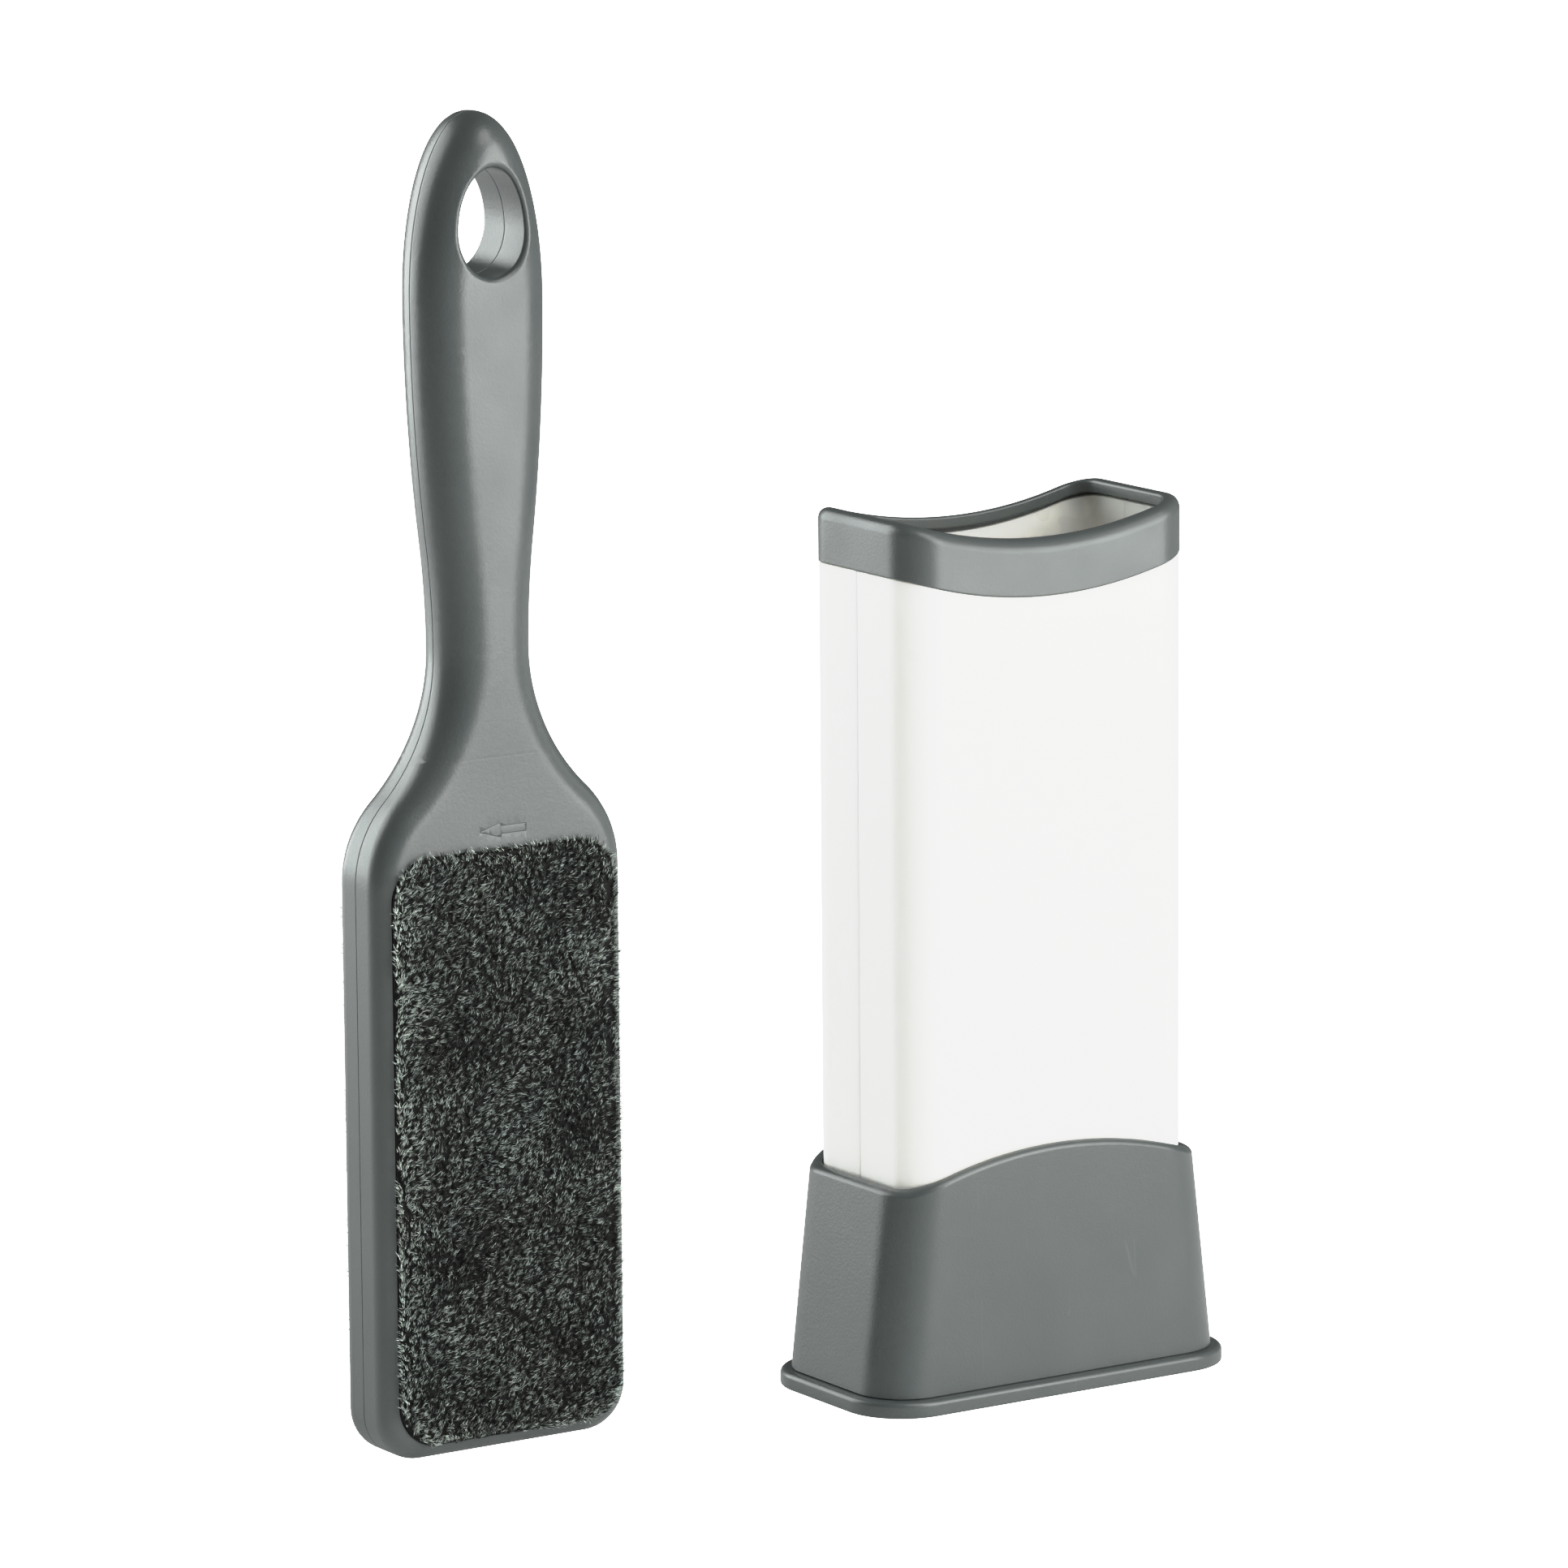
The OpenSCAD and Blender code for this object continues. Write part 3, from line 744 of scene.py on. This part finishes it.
def outlineDepth(u, z):
    # Distance inwards from the brush's outline
    u = np.abs(u)
    r, zs = brush["cornerR"], brush["paddleTop"]
    corner = r - np.hypot(u - (paddleHalf - r), r - z)
    paddle = np.where((z < r) & (u > paddleHalf - r), corner, np.minimum(paddleHalf - u, z))
    shoulderC = (paddleHalf - brush["shoulderR"], zs)
    neckC = (brush["neckHalf"] + brush["neckR"], neckZ)
    waistC = (brush["neckHalf"] + waistR, neckZ)
    bellyC = (brush["handleHalf"] - bellyR, tipZ)
    shoulder = brush["shoulderR"] - np.hypot(u - shoulderC[0], z - shoulderC[1])
    neck = np.hypot(u - neckC[0], z - neckC[1]) - brush["neckR"]
    waist = np.hypot(u - waistC[0], z - waistC[1]) - waistR
    belly = bellyR - np.hypot(u - bellyC[0], z - bellyC[1])
    tip = ellipseInset(u, np.maximum(z - tipZ, 0), brush["handleHalf"], brush["tip"])

    def above(a, b):
        return (z - a[1]) * (b[0] - a[0]) - (u - a[0]) * (b[1] - a[1]) > 0
    depth = np.where(above(shoulderC, neckC), neck, shoulder)
    depth = np.where(z < zs, paddle, depth)
    depth = np.where(z >= neckZ, np.where(above(bellyC, waistC), belly, waist), depth)
    return np.where(z >= tipZ, tip, depth)


def edgeRound(z):
    share = np.clip((z - brush["paddleTop"]) / (neckZ - brush["paddleTop"]), 0, 1)
    share = share * share * (3 - 2 * share)
    return brush["paddleEdge"] + (brush["handleEdge"] - brush["paddleEdge"]) * share


def holeGrowth(u, z):
    v = z - holeZ
    up = -ellipseInset(u, np.maximum(v, 0), brush["holeHalf"], brush["holeHigh"])
    down = -ellipseInset(u, np.minimum(v, 0), brush["holeHalf"], brush["holeLow"])
    return np.where(v > 0, up, down)


def arrowOutline():
    cx, cz = arrow["middle"]
    tip, tail = cx - arrow["length"] / 2, cx + arrow["length"] / 2
    neck = tip + arrow["head"]
    h, s = arrow["headHalf"], arrow["shaftHalf"]
    return [(tip, cz), (neck, cz + h), (neck, cz + s), (tail, cz + s),
            (tail, cz - s), (neck, cz - s), (neck, cz - h)]


def splitSides(corners, step):
    # Each side of a closed outline, with evenly spaced points from its start to its end
    for a, b in zip(corners, corners[1:] + corners[:1]):
        count = max(2, int(math.dist(a, b) / step))
        yield a, b, [(a[0] + (b[0] - a[0]) * i / count, a[1] + (b[1] - a[1]) * i / count)
                     for i in range(count + 1)]


def polylineDistance(points, corners):
    best = np.full(len(points), 1e9)
    for a, b in zip(corners, corners[1:] + corners[:1]):
        a, b = np.array(a), np.array(b)
        along = np.clip(((points - a) @ (b - a)) / ((b - a) @ (b - a)), 0, 1)
        best = np.minimum(best, np.hypot(*(points - a - along[:, None] * (b - a)).T))
    return best


def padRing(grow):
    # Half sizes and corner radius of the pad's outline, grown by the amount given
    return padHalf + grow, padHalfTall + grow, padCornerR + grow


def seatInside(u, z, grow):
    halfW, halfH, r = padRing(grow)
    x = np.maximum(np.abs(u) - (halfW - r), 0)
    y = np.maximum(np.abs(z - padMiddle) - (halfH - r), 0)
    return np.hypot(x, y) < r


def rightOutline(step):
    # Right half of the brush's outline, from the middle of the paddle's end to the tip, with its outward turn
    pts = []

    def arc(cx, cz, r, start, stop, flip=1):
        count = max(2, int(abs(stop - start) * r / step))
        for a in stepsBetween(start, stop, count):
            pts.append((cx + r * math.cos(a), cz + r * math.sin(a), flip * math.cos(a), flip * math.sin(a)))

    r, half, zs = brush["cornerR"], paddleHalf, brush["paddleTop"]
    for u in stepsBetween(0, half - r, 16):
        pts.append((u, 0, 0, -1))
    arc(half - r, r, r, -math.pi / 2, 0)
    for z in stepsBetween(r, zs, 70):
        pts.append((half, z, 1, 0))
    arc(half - brush["shoulderR"], zs, brush["shoulderR"], 0, shoulderTurn)
    arc(brush["neckHalf"] + brush["neckR"], neckZ, brush["neckR"], math.pi + shoulderTurn, math.pi, -1)
    arc(brush["neckHalf"] + waistR, neckZ, waistR, math.pi, math.pi - bellyTurn, -1)
    arc(brush["handleHalf"] - bellyR, tipZ, bellyR, -bellyTurn, 0)
    for a in stepsBetween(0, math.pi / 2, 44) + [math.pi / 2]:
        c, s = math.cos(a), math.sin(a)
        n = Vector((c / brush["handleHalf"], s / brush["tip"])).normalized()
        pts.append((brush["handleHalf"] * c, tipZ + brush["tip"] * s, n.x, n.y, a))
    return pts


def outlineLoop(depthShare, step):
    # Whole loop, drawn in to where the edge's rounding has turned by the given angle
    loop = []
    half, tip = brush["handleHalf"], brush["tip"]
    for p in rightOutline(step):
        depth = float(edgeRound(p[1])) * depthShare
        if len(p) == 5:
            loop.append(((half - depth) * math.cos(p[4]), tipZ + (tip - depth) * math.sin(p[4])))
        else:
            loop.append((p[0] - p[2] * depth, p[1] - p[3] * depth))
    return loop + [(-u, z) for u, z in reversed(loop[1:-1])]


def holeLoop(grow, count=96):
    loop = []
    for i in range(count):
        a = 2 * math.pi * i / count
        tall = brush["holeHigh"] if a < math.pi else brush["holeLow"]
        loop.append(((brush["holeHalf"] + grow) * math.cos(a), holeZ + (tall + grow) * math.sin(a)))
    return loop


def seatLoop(grow):
    return [(u, z + padMiddle) for u, z in (onRing(padRing(grow), at) for at in roundPath(24, 24, 14))]


def shellFace():
    # Flat triangulation of one face of the brush: outline, hole, seat and arrow are kept as edges
    points, edges = [], []

    def addLoop(loop):
        start = len(points)
        points.extend(loop)
        edges.extend((start + i, start + (i + 1) % len(loop)) for i in range(len(loop)))

    step = 1.4              # along the outline
    markStep = 0.5          # along the arrow
    gridStep, gridHalf = 2.6, 32.5
    outline = outlineLoop(0, step)
    hole = holeLoop(0)
    addLoop(outline)
    addLoop(hole)
    addLoop(seatLoop(brush["seatGap"]))
    addLoop(seatLoop(brush["seatGap"] - 0.03))
    mark = arrowOutline()
    addLoop([point for a, b, way in splitSides(mark, markStep) for point in way[:-1]])
    loose = []
    for turn in range(9, 91, 9):
        loose += outlineLoop(1 - math.cos(math.radians(turn)), step)
    half = arrow["lineWidth"] / 2
    for a, b, way in splitSides(mark, markStep):
        direction = Vector((b[0] - a[0], b[1] - a[1])).normalized()
        side = Vector((-direction.y, direction.x)) * half
        for x, z in way:
            loose += [(x + side.x, z + side.y), (x - side.x, z - side.y)]
    for dz in (-0.5, -0.25, 0, 0.25, 0.5):
        across = np.arange(-brush["witnessHalf"], brush["witnessHalf"] + 0.1, 0.9)
        loose += [(u, brush["witnessZ"] + dz) for u in across]
    loose = np.array(loose)
    across = np.arange(-gridHalf, gridHalf + 0.5, gridStep)
    grid = np.array([(u, z) for z in np.arange(2, brushTop, gridStep) for u in across])
    away = polylineDistance(grid, mark) > 0.9
    grid = grid[away & (outlineDepth(grid[:, 0], grid[:, 1]) > edgeRound(grid[:, 1]) + 1.0)
                & (np.abs(grid[:, 1] - brush["witnessZ"]) > 1.2)]
    loose = np.vstack([loose, grid])
    u, z = loose[:, 0], loose[:, 1]
    keep = (holeGrowth(u, z) > brush["holeRound"] + 0.3) & ~seatInside(u, z, 0.55)
    loose = loose[keep & (outlineDepth(u, z) > 0.02)]
    loose = loose[polylineDistance(loose, mark) > half * 0.8]
    rims = []
    for turn in range(15, 91, 15):
        rims += holeLoop(brush["holeRound"] * (1 - math.cos(math.radians(turn))))
    allPoints = points + [tuple(p) for p in loose] + rims
    verts, _, faces, _, _, _ = delaunay_2d_cdt([Vector(p) for p in allPoints], edges, [], 0, 1e-5)
    flat = np.array([(v.x, v.y) for v in verts])
    triangles = np.array([f for f in faces if len(f) == 3])
    middle = flat[triangles].mean(axis=1)
    inside = (outlineDepth(middle[:, 0], middle[:, 1]) > 0) & (holeGrowth(middle[:, 0], middle[:, 1]) > 0)
    inside &= middle[:, 1] > 0
    return flat, triangles[inside], len(outline), len(hole)


def faceHeight(flat):
    u, z = flat[:, 0], flat[:, 1]
    r = edgeRound(z)
    depth = np.clip(outlineDepth(u, z), 0, r)
    height = halfT - r + np.sqrt(np.maximum(r * r - (r - depth) ** 2, 0))
    rim = brush["holeRound"]
    grow = np.clip(holeGrowth(u, z), 0, rim)
    height -= rim - np.sqrt(np.maximum(rim * rim - (rim - grow) ** 2, 0))
    fromMark = polylineDistance(flat, arrowOutline()) / (arrow["lineWidth"] / 2)
    height -= arrow["lineDepth"] * np.clip(1 - fromMark, 0, 1)
    fromLine = np.abs(z - brush["witnessZ"]) / brush["witnessWidth"]
    height -= brush["witnessDepth"] * np.clip(1 - fromLine, 0, 1) * (np.abs(u) < brush["witnessHalf"])
    return np.where(seatInside(u, z, brush["seatGap"] - 0.015), halfT - brush["seatDepth"], height)


def loopNormals(loop):
    loop = np.array(loop)
    along = np.roll(loop, -1, axis=0) - np.roll(loop, 1, axis=0)
    along /= np.linalg.norm(along, axis=1)[:, None]
    return np.stack([along[:, 1], -along[:, 0]], axis=1)  # outward for a loop that runs anticlockwise


def makeShell(side, flat, triangles, outlineCount, holeCount):
    shape = Shape()
    height = faceHeight(flat)
    shape.add([(brushX + u, brushY + side * h, z) for (u, z), h in zip(flat, height)], triangles.tolist())
    bottomLoops = []
    for start, count, inward in ((0, outlineCount, 1), (outlineCount, holeCount, -1)):
        loop = flat[start:start + count]
        normals = loopNormals(loop) * inward
        top = list(range(start, start + count))
        levels = [(brush["seamWidth"], 0.0), (0.0, brush["seamDepth"])]
        for level, inset in levels:
            ring = [(brushX + u - n[0] * inset, brushY + side * level, z - n[1] * inset)
                    for (u, z), n in zip(loop, normals)]
            base = len(shape.points)
            shape.add(ring, [])
            low = list(range(base, base + count))
            shape.faces += [(top[i], top[(i + 1) % count], low[(i + 1) % count], low[i])
                            for i in range(count)]
            top = low
        bottomLoops.append((top, [(shape.points[i][0], shape.points[i][2]) for i in top]))
    # Closing face on the parting plane
    (outerIds, outer), (holeIds, hole) = bottomLoops
    n, m = len(outer), len(hole)
    edges = [(i, (i + 1) % n) for i in range(n)] + [(n + i, n + (i + 1) % m) for i in range(m)]
    verts, _, faces, origin, _, _ = delaunay_2d_cdt([Vector(p) for p in outer + hole], edges, [], 0, 1e-5)
    ids = outerIds + holeIds
    for face in faces:
        u = np.array([sum(verts[i].x for i in face) / 3 - brushX])
        z = np.array([sum(verts[i].y for i in face) / 3])
        if min(outlineDepth(u, z)[0], holeGrowth(u, z)[0]) > brush["seamDepth"] * 0.5:
            shape.faces.append(tuple(ids[origin[i][0]] for i in face))
    return makePiece(nodeFor(side, "brush_*_shell"), shape, greyPlastic, "brush", 42)


card = {
    "edge": 0.2,         # small bevel round the face
}


def makeCard(side):
    node = nodeFor(side, "*_pad_card")
    low, high = nodeBox(node)
    back, face = (high.y, low.y) if side < 0 else (low.y, high.y)
    way = roundPath(8, 12, 10)
    shape = Shape()
    edge = card["edge"]
    for inset, y in ((0, back), (0, face - side * edge), (-edge, face)):
        shape.points += ringPoints(way, padRing(inset), (brushX, padMiddle), y)
    count = len(way)
    for row in range(2):
        shape.faces += band(row, count)
    shape.faces += [tuple(range(count)), tuple(range(3 * count - 1, 2 * count - 1, -1))]
    return makePiece(node, shape, blackCard, "brush")


padPile = {
    "ground": 0.9,          # cloth under the pile
    "rowStep": 1.45,
    "tuftStep": 1.32,
    "edgeStep": 1.5,       # tufts along the turned edge
    "fibres": 14,
    "spread": 0.52,
    "length": (1.3, 2.2),
    "width": (0.1, 0.2),
    "rise": (0.4, 0.98),
    "lean": 62.0,           # degrees from the horizontal
    "overhang": 2.0,
    "edgeBand": 2.4,        # width of the tufts that lean outwards
    "outward": (0.8, 0.6),
    "groove": (2.2, 2.9),   # worn line beside the turned edge, from the edge in
    "topBand": 7.0,         # the tufts near the upper edge stand more upright
    "highlightBand": 9.0,       # painted highlight: lighter tufts along the left edge
    "highlightGain": 0.27,
    "shade": 0.64,
    "tuftSpread": 0.13,     # how much the shade changes from tuft to tuft
    "fibreSpread": 0.45,    # and from fibre to fibre, partly the fibres' own tone and partly painted glints
    "clothShade": 0.12,
    "tones": (0.02, 0.64, 1.32),    # root, bend and tip: painted shade at the root, painted glints at the tip
    "seed": 7,
}
stripPile = dict(padPile, fibres=12, length=(1.3, 2.0), lean=90.0, overhang=0.5, seed=19)
stripCornerR = 0.6


def slowNoise(rng, x, z, size, waves=7):
    # Smooth seeded variation across a surface
    total = np.zeros(x.shape)
    for _ in range(waves):
        turn, phase = rng.uniform(0, 2 * math.pi, 2)
        pitch = size * rng.uniform(0.6, 1.8)
        total += np.sin((x * math.cos(turn) + z * math.sin(turn)) * 2 * math.pi / pitch + phase)
    return total / math.sqrt(waves)


def evenRing(ring, step):
    # Evenly spaced points on a rounded rectangle
    corners = np.array([onRing(ring, at) for at in roundPath(60, 120, 24)])
    corners = np.vstack([corners, corners[:1]])
    gone = np.concatenate([[0], np.cumsum(np.hypot(*np.diff(corners, axis=0).T))])
    places = np.arange(0, gone[-1], step)
    return np.stack([np.interp(places, gone, corners[:, 0]), np.interp(places, gone, corners[:, 1])], axis=1)


def makePile(node, body, center, half, cornerR, rootY, outY, settings):
    # Cloth ground with rounded edges, and tufts of bent, flat fibres standing on it
    rng = np.random.default_rng(settings["seed"])
    cx, cz = center
    halfW, halfH = half
    pileHeight = abs(outY - rootY)
    out = 1 if outY > rootY else -1
    ground = settings["ground"]
    way = roundPath(20, 20, 12)
    shape = Shape()
    turns = [math.radians(d) for d in (0, 15, 35, 55, 75, 90)]
    rings = [(-ground * (1 - math.cos(a)), ground * math.sin(a)) for a in turns]
    for inset, rise in rings:
        ring = (halfW + inset, halfH + inset, max(cornerR + inset, 0.3))
        shape.points += ringPoints(way, ring, center, rootY + out * rise)
    count = len(way)
    for row in range(len(rings) - 1):
        shape.faces += band(row, count)
    last = (len(rings) - 1) * count
    shape.faces += [tuple(range(count)), tuple(range(last + count - 1, last - 1, -1))]
    groundPoints = len(shape.points)

    rows = np.arange(-halfH + 0.5, halfH - 0.3, settings["rowStep"])
    tufts = []
    step = settings["tuftStep"]
    for index, z in enumerate(rows):
        tufts += [(x, z) for x in np.arange(-halfW + 0.5, halfW - 0.3, step) + (index % 2) * step / 2]
    tufts = np.array(tufts)
    tufts += rng.normal(0, 0.2, tufts.shape)
    if cornerR > 1:
        turned = evenRing((halfW - 0.3, halfH - 0.3, cornerR - 0.3), settings["edgeStep"])
        tufts = np.vstack([tufts, turned])
    edgeX = halfW - np.abs(tufts[:, 0])
    edgeZ = halfH - np.abs(tufts[:, 1])
    r = max(cornerR, 0.3)
    cornerX, cornerZ = np.maximum(r - edgeX, 0), np.maximum(r - edgeZ, 0)
    edge = np.where((cornerX > 0) & (cornerZ > 0), r - np.hypot(cornerX, cornerZ), np.minimum(edgeX, edgeZ))
    fromRight = halfW - tufts[:, 0]
    grooveFrom, grooveTo = settings["groove"]
    groove = (fromRight > grooveFrom) & (fromRight < grooveTo) & (np.abs(tufts[:, 1]) < halfH - r)
    keep = (edge > 0.12) & ~(groove & (cornerR > 1))
    tufts, edge = tufts[keep], edge[keep]
    outX = np.sign(tufts[:, 0]) * np.where(halfW - np.abs(tufts[:, 0]) < 3.2, 1.0, 0.0)
    outZ = np.sign(tufts[:, 1]) * np.where(halfH - np.abs(tufts[:, 1]) < 3.2, 1.0, 0.0)
    topLean = np.clip(1 - (halfH - tufts[:, 1]) / settings["topBand"], 0, 1)
    wander = slowNoise(rng, tufts[:, 0], tufts[:, 1], 26) * 16 + rng.normal(0, 15, len(tufts))
    turn = np.radians(settings["lean"] + 1.6 * wander + 58 * topLean)
    near = np.clip(1 - edge / settings["edgeBand"], 0, 1)
    pushX, pushZ = settings["outward"]
    flow = np.stack([np.cos(turn) + pushX * near * outX, np.sin(turn) + pushZ * near * outZ], axis=1)
    flow /= np.linalg.norm(flow, axis=1)[:, None]
    # Painted highlight: tufts are made lighter along the left edge and near every edge, where the pile turns
    # over the edge
    light = np.clip(1 - (tufts[:, 0] + halfW) / settings["highlightBand"], 0, 1)
    light += 0.3 * np.clip(1 - edge / 5, 0, 1)
    shade = settings["shade"] + 0.09 * slowNoise(rng, tufts[:, 0], tufts[:, 1], 26)
    shade += rng.normal(0, settings["tuftSpread"], len(tufts)) + settings["highlightGain"] * light
    shade = np.clip(shade, 0.1, 1.2)
    tall = np.clip(1 + rng.normal(0, 0.12, len(tufts)), 0.7, 1.25)

    each = settings["fibres"]
    which = np.repeat(np.arange(len(tufts)), each)
    total = len(which)
    spread = settings["spread"]
    root = tufts[which] + rng.normal(0, spread * 0.5, (total, 2))
    angle = rng.normal(0, 0.3, total)
    c, s = np.cos(angle), np.sin(angle)
    lead = flow[which]
    lead = np.stack([lead[:, 0] * c - lead[:, 1] * s, lead[:, 0] * s + lead[:, 1] * c], axis=1)
    length = rng.uniform(*settings["length"], total) * tall[which] * (1 + 0.12 * near[which])
    rise = rng.uniform(*settings["rise"], total)
    rise = rise * (1 - 0.3 * near[which])
    top = pileHeight - ground + 0.15
    lift = np.minimum(length * rise, top)
    reach = np.sqrt(np.maximum(length ** 2 - lift ** 2, 0.05))
    tip = root + lead * reach[:, None]
    limitW, limitH = halfW + settings["overhang"], halfH + settings["overhang"]
    tip[:, 0] = np.clip(tip[:, 0], -limitW, limitW)
    tip[:, 1] = np.clip(tip[:, 1], -limitH, limitH)
    bend = root + (tip - root) * 0.42
    beyond = np.clip(np.maximum(np.abs(tip[:, 0]) - halfW, np.abs(tip[:, 1]) - halfH) / 1.2, 0, 1)
    rootRise = np.full(total, ground - 0.08)
    rootRise -= 0.6 * ground * np.clip(1 - edge[which] / 0.9, 0, 1)
    midRise = rootRise + lift * 0.66
    tipRise = rootRise + lift * (1 - 0.4 * beyond)
    twist = rng.uniform(-0.9, 0.9, total)
    width = rng.uniform(*settings["width"], total)
    sideX = -lead[:, 1] * np.cos(twist) * width / 2
    sideZ = lead[:, 0] * np.cos(twist) * width / 2
    sideY = np.sin(twist) * width / 2

    def world(flatPoint, riseHere, share):
        return np.stack([cx + flatPoint[:, 0] + sideX * share, rootY + out * (riseHere + sideY * share),
                         cz + flatPoint[:, 1] + sideZ * share], axis=1)
    block = np.stack([world(root, rootRise, -0.8), world(root, rootRise, 0.8), world(bend, midRise, 1.0),
                      world(bend, midRise, -1.0), world(tip, tipRise, 0.0)], axis=1).reshape(-1, 3)
    shape.points += [tuple(p) for p in block.tolist()]
    for i in range(total):
        a = groundPoints + 5 * i
        shape.faces.append((a, a + 1, a + 2, a + 3))
        shape.faces.append((a + 3, a + 2, a + 4))
    # Lightness from fibre to fibre is partly own tone and partly painted glints; the near-black root is
    # painted shade and the light tip is a painted glint
    bright = shade[which] * np.exp(rng.normal(0, settings["fibreSpread"], total))
    atRoot, atBend, atTip = (share * bright for share in settings["tones"])
    tones = np.stack([atRoot, atRoot, atBend, atBend, atTip], axis=1).reshape(-1)
    tones = np.concatenate([np.full(groundPoints, settings["clothShade"]), np.clip(tones, 0, 1)])

    piece = makePiece(node, shape, velourPile, body, 60, outward=False)
    layer = piece.data.color_attributes.new("tone", "FLOAT_COLOR", "POINT")
    layer.data.foreach_set("color", np.repeat(tones, 4).astype(np.float32))
    return piece


def seeded(pile, side):
    return dict(pile, seed=pile["seed"] + (0 if side < 0 else 4))


def makePad(side):
    node = nodeFor(side, "*_pad_velour")
    low, high = nodeBox(node)
    rootY, outY = (high.y, low.y) if side < 0 else (low.y, high.y)
    center, half = (brushX, padMiddle), (padHalf, padHalfTall)
    return makePile(node, "brush", center, half, padCornerR, rootY, outY, seeded(padPile, side))


def makeStrip(side):
    node = nodeFor(side, "*_wiper_velour")
    low, high = nodeBox(node)
    rootY, outY = (low.y, high.y) if side < 0 else (high.y, low.y)
    center = ((low.x + high.x) / 2, (low.z + high.z) / 2)
    half = ((high.x - low.x) / 2, (high.z - low.z) / 2)
    return makePile(node, "sleeve", center, half, stripCornerR, rootY, outY, seeded(stripPile, side))


makeCollar()
makeSkirt()
makeFloor()
flatFace = shellFace()
for side in (-1, 1):
    makeSleeveHalf(side)
    makeCarrier(side)
    makeShell(side, *flatFace)
    makeCard(side)
    makePad(side)
    makeStrip(side)
print("pieces ready")


stage = {
    "floorSize": 16.0,
    "floorColor": (0.9, 0.9, 0.9),
    "floorGlow": 0.1,
    "seenGlow": 1.9,     # added where the camera sees the floor, which keeps it clean and white
    "air": 0.14,
    "airSeen": 2.4,
    "aim": (-0.055, 0.0, 0.15),
}
camera = {
    "place": (-1.2241, -1.7743, 0.5517),
    "turn": -33.22,
    "pitch": 10.67,
    "roll": -0.44,
    "lens": 209.3,
}
# Name, azimuth (0 is in front, 90 to the right), distance, middle height, width, height, brightness, tint
softboxes = [
    ("rightBox", 28, 0.88, 0.33, 0.62, 0.74, 6.1, (1.0, 1.0, 0.985)),
    ("leftBox", -146, 1.2, 0.45, 1.0, 1.3, 4.6, (0.97, 1.0, 0.99)),
    ("topBox", 12, 1.1, 1.5, 1.0, 1.0, 4.0, (1.0, 0.99, 0.96)),
]


def addGlow(tree, strength, everywhere, seen):
    # A brightness that holds everywhere, with more of it where the camera sees it
    ray = tree.nodes.new("ShaderNodeLightPath")
    extra = mathNode(tree, "MULTIPLY", ray.outputs["Is Camera Ray"], seen)
    tree.links.new(mathNode(tree, "ADD", extra, everywhere), strength)


def makeStage():
    size = stage["floorSize"] / 2
    mesh = bpy.data.meshes.new("studioFloor")
    corners = [(-size, -size, 0), (size, -size, 0), (size, size, 0), (-size, size, 0)]
    mesh.from_pydata(corners, [], [(0, 1, 2, 3)])
    floor = bpy.data.objects.new("studioFloor", mesh)
    scene.collection.objects.link(floor)
    material, tree, shader, _ = newMaterial("studioWhite", stage["floorColor"])
    setInputs(shader, Base_Color=(*stage["floorColor"], 1), Roughness=0.9, Emission_Color=(1, 1, 1, 1))
    addGlow(tree, shader.inputs["Emission Strength"], stage["floorGlow"], stage["seenGlow"])
    mesh.materials.append(material)


def makeWorld():
    world = bpy.data.worlds.new("studioAir")
    scene.world = world
    world.use_nodes = True
    tree = world.node_tree
    air = next(n for n in tree.nodes if n.type == "BACKGROUND")
    addGlow(tree, air.inputs["Strength"], stage["air"], stage["airSeen"] - stage["air"])
    setInputs(air, Color=(1, 1, 1, 1))


def makeSoftbox(name, azimuth, distance, height, width, tall, brightness, tint):
    turn = math.radians(azimuth)
    aim = Vector(stage["aim"])
    place = Vector((aim.x + distance * math.sin(turn), aim.y - distance * math.cos(turn), height))
    light = bpy.data.lights.new(name, "AREA")
    light.shape = "RECTANGLE"
    light.size, light.size_y = width, tall
    light.energy = brightness * width * tall * math.pi
    light.color = tint
    lamp = bpy.data.objects.new(name, light)
    lamp.location = place
    lamp.rotation_euler = (aim - place).to_track_quat("-Z", "Y").to_euler()
    lamp.visible_camera = False
    scene.collection.objects.link(lamp)


def makeCamera():
    turn, pitch, roll = (math.radians(camera[k]) for k in ("turn", "pitch", "roll"))
    right = Vector((math.cos(turn), math.sin(turn), 0))
    back = Vector((math.sin(turn) * math.cos(pitch), -math.cos(turn) * math.cos(pitch), math.sin(pitch)))
    up = back.cross(right)
    tiltedRight = right * math.cos(roll) + up * math.sin(roll)
    tiltedUp = up * math.cos(roll) - right * math.sin(roll)
    lens = bpy.data.cameras.new("mainCamera")
    lens.lens = camera["lens"]
    lens.sensor_width = 36
    lens.clip_end = 60
    view = bpy.data.objects.new("mainCamera", lens)
    axes = Matrix((tiltedRight, tiltedUp, back)).transposed().to_4x4()
    view.matrix_world = Matrix.Translation(Vector(camera["place"])) @ axes
    scene.collection.objects.link(view)
    scene.camera = view


makeStage()
makeWorld()
for box in softboxes:
    makeSoftbox(*box)
makeCamera()

# Tone curve: greys stay as they are, and whites are held just short of the background's white
tone = {
    "white": 2.0,
    "points": [(0.06, 0.052), (0.16, 0.16), (0.34, 0.35), (0.66, 0.8), (0.9, 0.87), (1.6, 0.92)],
}


def setTone():
    look = scene.view_settings
    look.view_transform = "Standard"
    look.use_curve_mapping = True
    curves = look.curve_mapping
    curves.white_level = [tone["white"]] * 3
    curve = curves.curves[3]
    for place, value in tone["points"]:
        curve.points.new(place / tone["white"], value)
    for point in curve.points:
        point.handle_type = "AUTO_CLAMPED"
    curves.update()


setTone()
print("stage ready")
